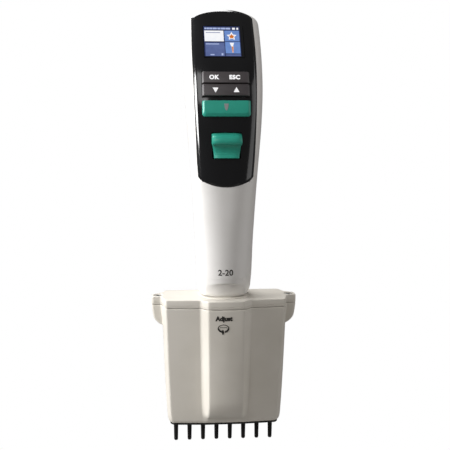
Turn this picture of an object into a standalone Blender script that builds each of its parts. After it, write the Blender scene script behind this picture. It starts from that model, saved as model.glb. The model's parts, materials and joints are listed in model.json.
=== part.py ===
"""Electronic eight-channel pipette at real size, in metres, +Z up.

The handle leans back at its head, where the display is. It turns on a manifold with eight tip cones in a row.
The origin is the middle of the tip ejector plate's underside, on the axis that the manifold turns about.
X runs along the row of cones and -Y is the side of the display. Sizes below are in millimetres.
"""

from math import cos, pi, radians, sin

import bmesh
import bpy
import numpy as np
from mathutils import Matrix, Vector

MM = 0.001
GAP = 0.3

# Channels: the nine-millimetre pitch of a 96-well plate
CHANNELS = 8
PITCH = 9.0
CONE_LENGTH = 14.0
PISTON_R = 0.75
STROKE = 12.0

# Heights of the manifold, from the ejector plate's underside
PLATE_T = 1.0
HOUSING_Z = (1.3, 79.5)
HOUSING_HEIGHTS = (1.3, 3.2, 4.5, 7, 11, 18, 40, 65.5, 67.5, 71, 76, 79.5)
LID_Z = (79.8, 85.0)
WALL = 1.8
BLOCK_Z = (8.0, 38.0)
SEAL_Z = (38.3, 40.3)
RETAINER_Z = (40.6, 42.6)
CROSSHEAD_Z = (44.0, 48.0)
CUP_TOP = CROSSHEAD_Z[1] + 6.9
POST_X = 27.0
POST_R = 1.5
EAR_SCREW = (42.7, 0.0)

# Swivel joint between the manifold and the neck
SPIGOT_R = (9.9, 12.6)
SPIGOT_TOP = 97.0
RING_Z = (91.3, 92.7)
PUSHER_R = (6.5, 9.4)
EJECT_TRAVEL = 6.5
YOKE_LOW = CUP_TOP + STROKE + EJECT_TRAVEL + 2.6
YOKE_Z = (YOKE_LOW, YOKE_LOW + 3.0)
YOKE_TOP = 86.0

# Drive in the handle
SCREW_R = 2.5
MOTOR_R = 9.5
MOTOR_Z = (120.0, 148.0)
BRACKET_Z = (148.3, 152.3)
FOOT_Z = (112.0, 115.0)
SHELF_TOP = 205.8
BATTERY = {"radius": 7.0, "y": 7.3, "z": (168.0, 209.0)}

# Handle sections up the face: height, face y, tilt in degrees, half width, depth, squareness of the front
SHELL = 2.0
STATIONS = np.array(
    [
        (86.0, -15.0, 0.0, 15.0, 30.0, 2.0),
        (87.5, -16.3, 0.0, 16.1, 32.5, 2.0),
        (90.5, -17.5, 0.0, 17.1, 34.8, 2.05),
        (95.0, -18.2, 0.0, 17.6, 36.0, 2.1),
        (105.0, -18.3, 0.0, 18.1, 36.2, 2.15),
        (120.0, -18.0, 0.0, 18.6, 35.8, 2.2),
        (135.0, -17.7, 0.0, 19.4, 35.2, 2.35),
        (150.0, -17.3, 0.5, 20.3, 34.6, 2.5),
        (165.0, -17.0, 1.5, 21.3, 34.2, 2.7),
        (180.0, -16.5, 3.5, 22.4, 34.0, 2.9),
        (190.0, -15.8, 6.0, 23.2, 34.0, 3.0),
        (201.0, -14.3, 10.0, 23.9, 33.5, 3.1),
        (210.5, -12.2, 15.0, 24.4, 32.8, 3.2),
        (221.0, -8.7, 21.5, 24.8, 31.5, 3.3),
        (228.6, -5.3, 26.5, 25.0, 30.5, 3.3),
        (238.4, 0.6, 32.5, 25.2, 29.3, 3.3),
        (248.0, 7.4, 36.0, 25.3, 28.4, 3.3),
        (257.7, 14.8, 37.5, 25.2, 27.8, 3.3),
        (264.0, 19.6, 38.0, 25.0, 27.5, 3.3),
        (272.0, 25.8, 38.0, 24.8, 27.2, 3.3),
    ]
)
REAR_POWER = 2.3
DOME_Z = 264.0
DOME_H = 7.5
OUTER_HEIGHTS = (86, 87.5, 90.5, 95, 105, 120, 135, 150, 165, 180, 191, 201, 210, 218, 226)
OUTER_HEIGHTS += (234, 243, 253, 264)
INNER_HEIGHTS = (86, 90.5, 105, 135, 165, 190, 209, 225, 239, 256, 264)

# Face panel outline: half width by height, and the bows of its ends
PANEL_HALF = np.array(
    [(157, 17), (175, 18.4), (195, 19.2), (215, 19.9), (240, 20.5), (256, 20.3), (269, 19.8)]
)
PANEL_Z = (157.1, 269.0)
PANEL_BOW = (4.9, 3.0)
PANEL_LIFT = 0.8
PANEL_UNDER = 2.2
PANEL_SEAT = 4.5

# Controls on the face: height on the face, width, height along the face
WINDOW = {"z": 247.9, "width": 25.4, "tall": 25.2}
KEY_UPPER_Z = 224.9
KEY_LOWER_Z = 217.2
KEY_SIZE = (29.8, 7.9, 3.2)
KEY_PIVOT_OUT = -1.6
BAR = {"z": 205.7, "width": 30.2, "tall": 9.8, "thick": 2.6, "stem_up": 3.2}
TRIGGER_Z = 183.3
TRIGGER_HALF = (9.3, 8.7)
TRIGGER_BACK = -5.0
TRIGGER_TRAVEL = 3.0

# Rear shell: its two screws, and the charging socket on the left
REAR_SCREW_X = 7.5
REAR_SCREW_Z = 150.3
SOCKET = {"z": 240.0, "x": -24.0, "depth": 12.5, "wide": 6.0, "tall": 4.2}


# ---------------------------------------------------------------- scene, materials and mesh helpers


def clear_scene():
    for obj in list(bpy.data.objects):
        bpy.data.objects.remove(obj, do_unlink=True)


def new_collection(name):
    made = bpy.data.collections.new(name)
    bpy.context.scene.collection.children.link(made)
    return made


def finish_of(name, colour, roughness, metallic=0.0):
    made = bpy.data.materials.new(name)
    made.use_nodes = True
    shader = made.node_tree.nodes["Principled BSDF"]
    shader.inputs["Base Color"].default_value = (*colour, 1.0)
    shader.inputs["Roughness"].default_value = roughness
    shader.inputs["Metallic"].default_value = metallic
    return made


def add_object(name, bm, finish=None, pivot=(0, 0, 0)):
    """Makes an object from a bmesh in millimetres, with its origin at the pivot."""
    bmesh.ops.translate(bm, verts=bm.verts, vec=-Vector(pivot))
    bmesh.ops.scale(bm, verts=bm.verts, vec=(MM, MM, MM))
    mesh = bpy.data.meshes.new(name)
    bm.to_mesh(mesh)
    bm.free()
    obj = bpy.data.objects.new(name, mesh)
    obj.location = Vector(pivot) * MM
    if finish is None:
        obj.hide_render = True
        obj.display_type = "WIRE"
        CUTTERS.objects.link(obj)
    else:
        mesh.materials.append(finish)
        mesh.shade_smooth()
        mesh.set_sharp_from_angle(angle=radians(35))
        PARTS.objects.link(obj)
    return obj


def box_mesh(low, high):
    bm = bmesh.new()
    bmesh.ops.create_cube(bm, size=1.0)
    size = Vector(high) - Vector(low)
    bmesh.ops.scale(bm, verts=bm.verts, vec=size)
    bmesh.ops.translate(bm, verts=bm.verts, vec=(Vector(low) + Vector(high)) / 2)
    return bm


def round_mesh(radius, low, high, segments=20):
    """A solid cylinder from one end point to the other."""
    bm = bmesh.new()
    axis = Vector(high) - Vector(low)
    turn = Vector((0, 0, 1)).rotation_difference(axis).to_matrix().to_4x4()
    place = Matrix.Translation((Vector(low) + Vector(high)) / 2) @ turn
    bmesh.ops.create_cone(
        bm, cap_ends=True, segments=segments, radius1=radius, radius2=radius, depth=axis.length, matrix=place
    )
    return bm


def loft_mesh(rings, inner=None):
    """Skins rings of equal length, bottom to top: a tube with inner rings, else closed at both ends."""
    bm = bmesh.new()

    def skin(loops, flip):
        rows = [[bm.verts.new(p) for p in ring] for ring in loops]
        for low, high in zip(rows, rows[1:]):
            for i in range(len(low)):
                j = (i + 1) % len(low)
                quad = (low[i], low[j], high[j], high[i])
                bm.faces.new(quad[::-1] if flip else quad)
        return rows

    outside = skin(rings, False)
    if inner is None:
        bm.faces.new(outside[0][::-1])
        bm.faces.new(outside[-1])
        return bm
    inside = skin(inner, True)
    count = len(outside[0])
    for i in range(count):
        j = (i + 1) % count
        bm.faces.new((outside[0][j], outside[0][i], inside[0][i], inside[0][j]))
        bm.faces.new((outside[-1][i], outside[-1][j], inside[-1][j], inside[-1][i]))
    return bm


def side_prism(outline, half_width):
    """Extrudes an outline of (y, z) points across X."""
    area = sum(a[0] * b[1] - b[0] * a[1] for a, b in zip(outline, outline[1:] + outline[:1]))
    points = outline if area > 0 else outline[::-1]
    return loft_mesh([[(x, y, z) for y, z in points] for x in (-half_width, half_width)])


def turned(name, profile, finish, centre=(0.0, 0.0), segments=20):
    """A turned piece: its profile runs down the outer side, and a closed one comes back up the bore."""
    mesh = bpy.data.meshes.new(name)
    points = [(r * MM, 0.0, z * MM) for r, z in profile]
    count = len(points)
    edges = [(i, i + 1) for i in range(count - 1)]
    if profile[0][0] > 0:
        edges.append((count - 1, 0))
    mesh.from_pydata(points, edges, [])
    mesh.materials.append(finish)
    obj = bpy.data.objects.new(name, mesh)
    obj.location = (centre[0] * MM, centre[1] * MM, 0.0)
    screw = obj.modifiers.new("turn", "SCREW")
    screw.angle = 2 * pi
    screw.steps = screw.render_steps = segments
    screw.use_merge_vertices = True
    screw.merge_threshold = 0.00001
    screw.use_smooth_shade = True
    PARTS.objects.link(obj)
    return obj


def tube_profile(inner, outer, low, high):
    return [(outer, high), (outer, low), (inner, low), (inner, high)]


def combine(obj, other, operation):
    cut = obj.modifiers.new(operation.lower(), "BOOLEAN")
    cut.operation = operation
    cut.solver = "EXACT"
    cut.object = other


def cut_with(obj, bm, name):
    combine(obj, add_object(f"{obj.name}_{name}", bm), "DIFFERENCE")


def join_with(obj, bm, name):
    combine(obj, add_object(f"{obj.name}_{name}", bm), "UNION")


def coil(name, radius, wire, low, high, turns, finish, place=None, per_turn=12):
    """A compression spring as a wire along a helix, between two heights."""
    curve = bpy.data.curves.new(name, "CURVE")
    curve.dimensions = "3D"
    curve.bevel_depth = wire / 2 * MM
    curve.bevel_resolution = 2
    curve.use_fill_caps = True
    count = turns * per_turn + 1
    spline = curve.splines.new("POLY")
    spline.points.add(count - 1)
    for i, point in enumerate(spline.points):
        share = i / (count - 1)
        angle = 2 * pi * turns * share
        height = low + wire / 2 + (high - low - wire) * share
        at = Vector((radius * cos(angle), radius * sin(angle), height))
        point.co = (*((place @ at if place else at) * MM), 1.0)
    curve.materials.append(finish)
    obj = bpy.data.objects.new(name, curve)
    PARTS.objects.link(obj)
    return obj


# ---------------------------------------------------------------- the handle's form


SLOPES = np.gradient(STATIONS, STATIONS[:, 0], axis=0)


def station(z):
    """The section at a height on the face: face y, tilt, half width, depth and squareness."""
    heights = STATIONS[:, 0]
    i = int(np.clip(np.searchsorted(heights, z) - 1, 0, len(heights) - 2))
    span = heights[i + 1] - heights[i]
    t = (z - heights[i]) / span
    near, far = STATIONS[i], STATIONS[i + 1]
    leave, arrive = SLOPES[i] * span, SLOPES[i + 1] * span
    blend = (2 * t**3 - 3 * t**2 + 1) * near + (t**3 - 2 * t**2 + t) * leave
    blend = blend + (3 * t**2 - 2 * t**3) * far + (t**3 - t**2) * arrive
    return blend[1:]


def inward(z, x, depth):
    """The point at a depth behind the face, square to it."""
    face_y, tilt = station(z)[:2]
    return (x, face_y + depth * cos(radians(tilt)), z - depth * sin(radians(tilt)))


def handle_ring(z, inset=0.0, dome=0.0, points=32):
    """One section of the handle. The dome closes it from 0, its full size, to 1, a point."""
    _, _, half, deep, power = station(z)
    shrink = (1 - dome**2.5) ** 0.4
    ring = []
    for k in range(points):
        angle = 2 * pi * (k + 0.5) / points
        c, s = cos(angle), -sin(angle)
        bend = 2 / (power if s > 0 else REAR_POWER)
        x = (half - inset) * shrink * np.sign(c) * abs(c) ** bend
        swing = np.sign(s) * abs(s) ** bend
        depth = deep / 2 - (deep / 2 - inset) * shrink * swing
        ring.append(inward(z, x, depth))
    return ring


def outer_rings():
    rings = [handle_ring(z) for z in OUTER_HEIGHTS]
    return rings + [handle_ring(DOME_Z + DOME_H * t, 0, t) for t in (0.35, 0.6, 0.8, 0.92, 0.98)]


def inner_rings():
    """The hollow, open below the neck."""
    rings = [handle_ring(z, SHELL, points=20) for z in INNER_HEIGHTS]
    rings.insert(0, [(x, y, 80.0) for x, y, _ in rings[0]])
    rise = DOME_H - SHELL
    return rings + [handle_ring(DOME_Z + rise * t, SHELL, t, 20) for t in (0.5, 0.8, 0.95)]


def seam_line(shift):
    """Where the front and rear shells meet, from below the neck to above the head, in the YZ plane."""
    line = [(inward(86, 0, 15.0 + shift)[1], 80.0)]
    for z in (86, 110, 130, 150, 170, 190, 200, 210, 220, 230, 240, 250, 260, 270):
        share = np.interp(z, (110, 200), (0.5, 0.27))
        depth = station(z)[3] * share + shift
        line.append(inward(z, 0, depth)[1:])
    last_y, last_z = line[-1]
    lean = radians(38)
    line.append((last_y + 20 * sin(lean), last_z + 20 * cos(lean)))
    return line


def half_space(shift, behind):
    """A block that takes away all that lies behind the seam, or all in front of it."""
    line = seam_line(shift)
    far = 120.0 if behind else -60.0
    return side_prism(line + [(far, line[-1][1]), (far, line[0][1])], 45.0)


def face_drop(z, x):
    """How far the face falls back from its centre line at x."""
    _, _, half, deep, power = station(z)
    return deep / 2 * (1 - (1 - min(abs(x) / half, 1.0) ** power) ** (1 / power))


def face_frame(z):
    """A frame on the face: x across, y up along the face, z straight out of it."""
    face_y, tilt = station(z)[:2]
    a = radians(tilt)
    axes = Matrix(((1, 0, 0), (0, sin(a), -cos(a)), (0, cos(a), sin(a)))).to_4x4()
    return Matrix.Translation((0, face_y, z)) @ axes


def on_face(bm, z):
    bmesh.ops.transform(bm, matrix=face_frame(z), verts=bm.verts)
    return bm


def face_box(z, width, tall, low, high, lift=0.0, across=0.0):
    """A box on the face: its width, its length up the face, and its span along the outward direction."""
    start = (across - width / 2, lift - tall / 2, low)
    return on_face(box_mesh(start, (across + width / 2, lift + tall / 2, high)), z)


def panel_mesh(grow, lift, edge_lift, under):
    """The face panel as a plate that follows the face, with a low edge all round."""
    steps = [-1, -0.95, -0.75, -0.5, -0.25, 0, 0.25, 0.5, 0.75, 0.95, 1]
    ways = [0, 0.012] + [k / 16 for k in range(1, 16)] + [0.988, 1]
    last = len(ways) - 1
    bottom, top = PANEL_Z[0] - grow, PANEL_Z[1] + grow
    outer, inner = [], []
    for row, way in enumerate(ways):
        outer.append([])
        inner.append([])
        for u in steps:
            low = bottom + PANEL_BOW[0] * u * u + 1.6 * u**14
            high = top - PANEL_BOW[1] * u * u - 1.0 * u**14
            z = low + (high - low) * way
            x = u * (np.interp(z, *PANEL_HALF.T) + grow)
            raised = edge_lift if row in (0, last) or abs(u) == 1 else lift
            drop = face_drop(z, x)
            outer[-1].append(inward(z, x, drop - raised))
            inner[-1].append(inward(z, x, drop + under))
    bm = bmesh.new()
    front = [[bm.verts.new(p) for p in row] for row in outer]
    back = [[bm.verts.new(p) for p in row] for row in inner]
    for r in range(last):
        for c in range(len(steps) - 1):
            bm.faces.new((front[r][c], front[r][c + 1], front[r + 1][c + 1], front[r + 1][c]))
            bm.faces.new((back[r][c], back[r + 1][c], back[r + 1][c + 1], back[r][c + 1]))
        bm.faces.new((front[r][0], front[r + 1][0], back[r + 1][0], back[r][0]))
        bm.faces.new((front[r][-1], back[r][-1], back[r + 1][-1], front[r + 1][-1]))
    for c in range(len(steps) - 1):
        bm.faces.new((front[0][c], back[0][c], back[0][c + 1], front[0][c + 1]))
        bm.faces.new((front[-1][c], front[-1][c + 1], back[-1][c + 1], back[-1][c]))
    return bm


# ---------------------------------------------------------------- the manifold's form


def manifold_outline(z, ear=True):
    """The plan of lid and housing at a height, right half from the front middle to the rear middle."""
    share = z / HOUSING_Z[1]
    side = np.interp(z, (1.3, 3.2, 6, 79.5), (35.6, 36.7, 37.2, 40.4))
    wing_x = side - 2.4
    wing_y = np.interp(z, (1.3, 3.2, 79.5), (-10.6, -11.2, -16.4))
    back_y = 11.8 + 2.6 * share
    fade = np.interp(z, (1.3, 4.5, 7, 11, 18, 79.5), (0.0, 0.05, 0.42, 0.75, 0.97, 1.0))
    depth = (10.3 - 4.9 * share) * fade
    bulge_y = wing_y - 1.6 - depth
    tip = np.interp(z, (65.5, 67.5, 71, 76, 79.5), (side, 43.2, 45.9, 46.8, 47.2)) if ear else side
    front_x = 10.7 + 0.6 * share
    base_x = 12.3 + (0.6 + 1.9 * share) * fade
    half = [
        (0, bulge_y),
        (front_x * 0.6, bulge_y + 0.35 * fade),
        (front_x, bulge_y + 0.1 * depth),
        (front_x + 0.8, bulge_y + 0.18 * depth),
        (base_x, wing_y - 1.6 - 0.25 * depth),
        (base_x + 1.0, wing_y - 1.5 - 0.08 * depth),
        (base_x + 2.0, wing_y - 1.35),
        (wing_x, wing_y),
        (wing_x + 1.6, wing_y + 1.6),
        (side, -6.0),
        (max(side, tip - 5.8), -4.7),
        (tip - min(0.9, tip - side), -4.4),
        (tip, -3.5),
        (tip, 2.2),
        (tip - min(0.7, tip - side), 3.4),
        (side, 7.4),
        (wing_x, back_y - 0.7),
        (wing_x - 1.4, back_y - 0.1),
    ]
    rear_r = 17.6 - 5.3 * np.interp(z, (1.8, 7, 18), (1.0, 0.4, 0.0))
    start = np.arccos(min(back_y / rear_r, 1.0))
    rear = [(rear_r * sin(start * k / 5), rear_r * cos(start * k / 5)) for k in (5, 4, 3, 2, 1, 0)]
    return half + [(x, y) for x, y in rear]


def full_loop(half, z):
    """Mirrors the right half and gives the whole plan, counterclockwise from above."""
    left = [(-x, y) for x, y in half[-2:0:-1]]
    return [(x, y, z) for x, y in half + left]


def moved_in(loop, distance):
    """Moves each corner of a plan inward by the same distance from both its sides."""
    count = len(loop)
    result = []
    for i in range(count):
        here = Vector(loop[i][:2])
        before = (here - Vector(loop[i - 1][:2])).normalized()
        after = (Vector(loop[(i + 1) % count][:2]) - here).normalized()
        bisector = Vector((-before.y - after.y, before.x + after.x)).normalized()
        scale = distance / max(bisector.dot(Vector((-after.y, after.x))), 0.5)
        result.append((*(here + bisector * scale), loop[i][2]))
    return result


def housing_wall():
    outside = [full_loop(manifold_outline(z), z) for z in HOUSING_HEIGHTS]
    inside = [moved_in(full_loop(manifold_outline(z, ear=False), z), WALL) for z in HOUSING_HEIGHTS]
    return loft_mesh(outside, inside)


# ---------------------------------------------------------------- the pieces


def make_shells():
    for name, behind in (("front_shell", True), ("rear_shell", False)):
        shell = add_object(name, loft_mesh(outer_rings()), FINISH["white_abs"])
        cut_with(shell, loft_mesh(inner_rings()), "hollow")
        cut_with(shell, half_space(0.0 if behind else GAP, behind), "seam")
    front = bpy.data.objects["front_shell"]
    cut_with(front, panel_mesh(GAP, 3.0, 3.0, PANEL_SEAT), "panel_seat")
    finish_rear_shell(bpy.data.objects["rear_shell"])


def finish_rear_shell(rear):
    """Adds the finger rest and the screw bosses, and opens the charging socket's seat."""
    rest = [(17, 224), (20.5, 217), (26, 212.5), (31.5, 208.5), (33, 205), (31.5, 202.6), (27, 202)]
    rest += [(22, 199.5), (19.3, 194), (18.3, 187), (16.6, 187), (16.8, 205)]
    join_with(rear, side_prism(rest, 8.0), "finger_rest")
    for side in (-1, 1):
        x = side * REAR_SCREW_X
        join_with(rear, round_mesh(4.4, (x, 10, REAR_SCREW_Z), (x, 16.2, REAR_SCREW_Z)), f"boss{side}")
        cut_with(rear, round_mesh(3.1, (x, 13.4, REAR_SCREW_Z), (x, 19, REAR_SCREW_Z)), f"head{side}")
        cut_with(rear, round_mesh(1.7, (x, 9, REAR_SCREW_Z), (x, 15, REAR_SCREW_Z), 14), f"hole{side}")
    x, v = SOCKET["x"], SOCKET["depth"]
    cut_with(rear, socket_mesh(x - 6, x + 6, v, GAP), "socket_seat")


def socket_mesh(x_low, x_high, depth, grow):
    wide, tall = SOCKET["wide"] / 2 + grow, SOCKET["tall"] / 2 + grow
    return on_face(box_mesh((x_low, -tall, -depth - wide), (x_high, tall, -depth + wide)), SOCKET["z"])


def make_panel():
    panel = add_object("face_panel", panel_mesh(0.0, PANEL_LIFT, 0.2, PANEL_UNDER), FINISH["black_gloss"])
    z, wide, tall = WINDOW["z"], WINDOW["width"] + 2 * GAP, WINDOW["tall"] + 2 * GAP
    cut_with(panel, face_box(z, wide, tall, -6, 5), "window")
    middle = (KEY_UPPER_Z + KEY_LOWER_Z) / 2
    cut_with(panel, face_box(middle, KEY_SIZE[0] + 2 * GAP, 2 * KEY_SIZE[1] + 1.6, -6, 5), "keys")
    cut_with(panel, face_box(BAR["z"], 8.8, EJECT_TRAVEL + 2.6, -6, 5), "bar_slot")
    for half, low, high in ((TRIGGER_HALF[0], -1.0, 8.2), (TRIGGER_HALF[1], -8.4, 0.5)):
        wide = 2 * half + 2 * GAP
        cut_with(panel, face_box(TRIGGER_Z, wide, high - low, -7, 6, (low + high) / 2), f"trigger{half}")


def make_display():
    z, wide, tall = WINDOW["z"], WINDOW["width"], WINDOW["tall"]
    add_object("display_window", face_box(z, wide, tall, -0.9, 0.5), FINISH["clear_acrylic"])
    add_object("display_module", face_box(z, 29.0, 29.5, -6.8, -3.8), FINISH["lcd"])
    add_object("main_board", face_box(238.0, 34.0, 47.0, -12.6, -11.0), FINISH["board_green"])


def make_keys():
    wide, tall, thick = KEY_SIZE
    for name, z in (("ok_esc_key", KEY_UPPER_Z), ("arrow_key", KEY_LOWER_Z)):
        cap = box_mesh((-wide / 2, -tall / 2, 1.9 - thick), (wide / 2, tall / 2, 1.9))
        ends = [e for e in cap.edges if abs(e.verts[0].co.x) > 14 and all(v.co.z > 1 for v in e.verts)]
        ends = [e for e in ends if abs(e.verts[0].co.x - e.verts[1].co.x) < 1]
        bmesh.ops.bevel(cap, geom=ends, offset=0.9, segments=1, affect="EDGES")
        pivot = face_frame(z) @ Vector((0, 0, KEY_PIVOT_OUT))
        add_object(name, on_face(cap, z), FINISH["key_grey"], pivot)
    middle = (KEY_UPPER_Z + KEY_LOWER_Z) / 2
    mat = add_object("key_mat", face_box(middle, 30.0, 17.0, -4.2, -3.0), FINISH["silicone"])
    domes = bmesh.new()
    for x in (-9, 9):
        for up in (-4.1, 4.1):
            at = Matrix.Translation((x, up, -2.9))
            size = {"radius1": 2.2, "radius2": 1.8, "depth": 1}
            bmesh.ops.create_cone(domes, cap_ends=True, segments=12, matrix=at, **size)
    join_with(mat, on_face(domes, middle), "domes")


def make_ejector_bar():
    wide, tall, thick = BAR["width"], BAR["tall"], BAR["thick"]
    low = PANEL_LIFT + 0.35
    bm = box_mesh((-wide / 2, -tall / 2, low), (wide / 2, tall / 2, low + thick))
    edges = [e for e in bm.edges if all(v.co.z > low + 1 for v in e.verts)]
    edges = [e for e in edges if not all(v.co.y > 1 for v in e.verts)]
    bmesh.ops.bevel(bm, geom=edges, offset=1.1, segments=1, affect="EDGES")
    bar = add_object("ejector_bar", on_face(bm, BAR["z"]), FINISH["teal"], face_frame(BAR["z"]).translation)
    join_with(bar, face_box(BAR["z"], 8.0, 2.0, -6.0, low + 1, BAR["stem_up"]), "stem")


def make_trigger():
    """The trigger's lip stands out over a hollow for the finger. Its outline is (out, up) on the face."""
    back = TRIGGER_BACK
    lip = [(back, 7.2), (1.6, 7.7), (4.2, 6.8), (6.3, 4.9), (7.2, 2.9), (6.8, 1.3), (5.4, 0.4)]
    lip += [(3.6, 0), (back, 0)]
    low = [(back, 0.3), (3.5, 0.3), (2.5, -1.4), (2.0, -3.6), (2.2, -5.7), (3.0, -7.3)]
    low += [(2.6, -7.9), (back, -7.9)]
    pieces = []
    for outline, half in ((lip, TRIGGER_HALF[0]), (low, TRIGGER_HALF[1])):
        bm = side_prism(outline, half)
        swap = Matrix(((1, 0, 0), (0, 0, 1), (0, 1, 0))).to_4x4()
        bmesh.ops.transform(bm, matrix=swap, verts=bm.verts)
        bmesh.ops.reverse_faces(bm, faces=bm.faces)
        pieces.append(on_face(bm, TRIGGER_Z))
    pivot = face_frame(TRIGGER_Z).translation
    trigger = add_object("trigger", pieces[0], FINISH["teal"], pivot)
    join_with(trigger, pieces[1], "hollow")
    board = back - TRIGGER_TRAVEL - 4.2
    add_object("trigger_board", face_box(TRIGGER_Z, 20.0, 18.0, board - 1.6, board), FINISH["board_green"])
    span = (board + GAP, back - GAP)
    coil("trigger_spring", 2.6, 0.5, *span, 4, FINISH["spring_steel"], face_frame(TRIGGER_Z), per_turn=10)


def make_drive():
    low, high = MOTOR_Z
    profile = tube_profile(3.0, MOTOR_R, low, high)
    profile[0:1] = [(MOTOR_R - 0.8, high), (MOTOR_R, high - 0.8)]
    turned("motor", profile, FINISH["zinc_steel"], segments=24)
    turned("rotor_nut", tube_profile(SCREW_R + GAP, 5.0, low - 3.3, low - GAP), FINISH["brass"], segments=16)
    top = CROSSHEAD_Z[1] + 0.9
    head = [(0, 152), (SCREW_R, 152), (SCREW_R, top + 3.5), (5.0, top + 3.5), (5.0, top), (0, top)]
    turned("drive_screw", head, FINISH["zinc_steel"], segments=16)
    block = box_mesh((-14, -7, BRACKET_Z[0]), (9.6, 9.2, BRACKET_Z[1]))
    bracket = add_object("motor_bracket", block, FINISH["black_abs"])
    cut_with(bracket, round_mesh(3.2, (0, 0, BRACKET_Z[0] - 1), (0, 0, BRACKET_Z[1] + 1)), "bore")
    for side in (-1, 1):
        x = side * REAR_SCREW_X
        cut_with(bracket, round_mesh(1.6, (x, 4, REAR_SCREW_Z), (x, 10, REAR_SCREW_Z), 14), f"pilot{side}")
    cell_y = BATTERY["y"]
    cell = round_mesh(BATTERY["radius"], (0, cell_y, BATTERY["z"][0]), (0, cell_y, BATTERY["z"][1]), 24)
    add_object("battery", cell, FINISH["blue_wrap"])


def make_ejector_rod():
    """The pusher tube in the neck, its foot, the strip beside the motor and the shelf under the stem."""
    low, high = FOOT_Z
    tube = tube_profile(*PUSHER_R, YOKE_TOP + GAP, high)
    rod = turned("ejector_rod", tube, FINISH["white_pom"], segments=24)
    join_with(rod, box_mesh((8.0, -6.4, low), (13.0, -3.0, high)), "foot")
    join_with(rod, box_mesh((10.8, -8.0, low + 0.5), (13.0, -5.0, 205.6)), "strip")
    join_with(rod, box_mesh((-4.0, -9.6, 203.6), (12.9, -5.1, SHELF_TOP)), "shelf")
    coil("ejector_spring", 11.2, 0.9, SPIGOT_TOP + GAP, low - GAP, 5, FINISH["spring_steel"])


def make_small_fittings():
    ring = turned("swivel_ring", tube_profile(11.6, 14.9, *RING_Z), FINISH["white_pom"], segments=32)
    cut_with(ring, box_mesh((-0.8, 8, RING_Z[0] - 1), (0.8, 18, RING_Z[1] + 1)), "gap")
    x, v = SOCKET["x"], SOCKET["depth"]
    add_object("charging_socket", socket_mesh(x - 1.0, x + 5.0, v, 0.0), FINISH["black_abs"])
    for name, side in (("rear_screw_left", -1), ("rear_screw_right", 1)):
        profile = [(0, 15.8), (2.2, 15.8), (2.7, 15.3), (2.7, 13.7), (1.2, 13.7), (1.2, 4.6), (0, 4.6)]
        screw = turned(name, profile, FINISH["zinc_steel"], segments=14)
        screw.location = Vector((side * REAR_SCREW_X, 0, REAR_SCREW_Z)) * MM
        screw.rotation_euler = (-pi / 2, 0, 0)
    for name, side in (("ear_screw_left", -1), ("ear_screw_right", 1)):
        profile = [(0, 84.6), (2.0, 84.6), (2.4, 84.2), (2.4, 83.2), (1.3, 83.2), (1.3, 70.5), (0, 70.5)]
        turned(name, profile, FINISH["zinc_steel"], (side * EAR_SCREW[0], EAR_SCREW[1]), 14)


def make_housing():
    housing = add_object("manifold_housing", housing_wall(), FINISH["ivory_abs"])
    for side in (-1, 1):
        x, y = side * EAR_SCREW[0], EAR_SCREW[1]
        cut_with(housing, round_mesh(1.6, (x, y, 70), (x, y, 81), 14), f"screw_hole{side}")


def make_lid():
    low, high = LID_Z
    plan = manifold_outline(HOUSING_Z[1])
    rings = [full_loop(plan, low), full_loop(plan, high - 0.8), moved_in(full_loop(plan, high), 0.7)]
    lid = add_object("manifold_lid", loft_mesh(rings), FINISH["ivory_abs"])
    inside = manifold_outline(HOUSING_Z[1], ear=False)
    pocket = [moved_in(full_loop(inside, z), WALL + 0.4) for z in (low - 1, low + 2.2)]
    cut_with(lid, loft_mesh(pocket), "pocket")
    join_with(lid, round_mesh(SPIGOT_R[1], (0, 0, high - 2), (0, 0, SPIGOT_TOP), 32), "spigot")
    cut_with(lid, round_mesh(SPIGOT_R[0], (0, 0, low - 2), (0, 0, SPIGOT_TOP + 2), 32), "bore")
    groove = loft_mesh(*[[circle(r, z) for z in (RING_Z[0] - GAP, RING_Z[1] + GAP)] for r in (14, 11.2)])
    cut_with(lid, groove, "groove")
    for side in (-1, 1):
        x, y = side * EAR_SCREW[0], EAR_SCREW[1]
        cut_with(lid, round_mesh(1.7, (x, y, low - 2), (x, y, high), 14), f"screw_hole{side}")
        cut_with(lid, round_mesh(2.9, (x, y, high - 2.1), (x, y, high + 2), 18), f"recess{side}")


def circle(radius, z, segments=32):
    angles = [2 * pi * k / segments for k in range(segments)]
    return [(radius * cos(a), radius * sin(a), z) for a in angles]


def channel_x():
    first = -PITCH * (CHANNELS - 1) / 2
    return [first + PITCH * k for k in range(CHANNELS)]


def holes(radius, low, high, xs, segments=10):
    bm = bmesh.new()
    for x in xs:
        at = Matrix.Translation((x, 0, (low + high) / 2))
        bmesh.ops.create_cone(
            bm, cap_ends=True, segments=segments, radius1=radius, radius2=radius, depth=high - low, matrix=at
        )
    return bm


def make_channel_block():
    half = PITCH * (CHANNELS - 1) / 2 + 2.9
    low, high = BLOCK_Z
    block = add_object("cylinder_block", box_mesh((-half, -4.6, low), (half, 4.6, high)), FINISH["grey_pps"])
    strip = box_mesh((-half, -3.2, SEAL_Z[0]), (half, 3.2, SEAL_Z[1]))
    seal = add_object("seal_strip", strip, FINISH["silicone"])
    cover = add_object(
        "seal_retainer", box_mesh((-half, -4.6, RETAINER_Z[0]), (half, 4.6, RETAINER_Z[1])), FINISH["grey_pps"]
    )
    for obj in (block, seal, cover):
        cut_with(obj, holes(PISTON_R + GAP, low - 2, 50, channel_x()), "bores")
        cut_with(obj, holes(POST_R + 0.4, low - 2, 50, (-POST_X, POST_X)), "post_holes")


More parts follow.
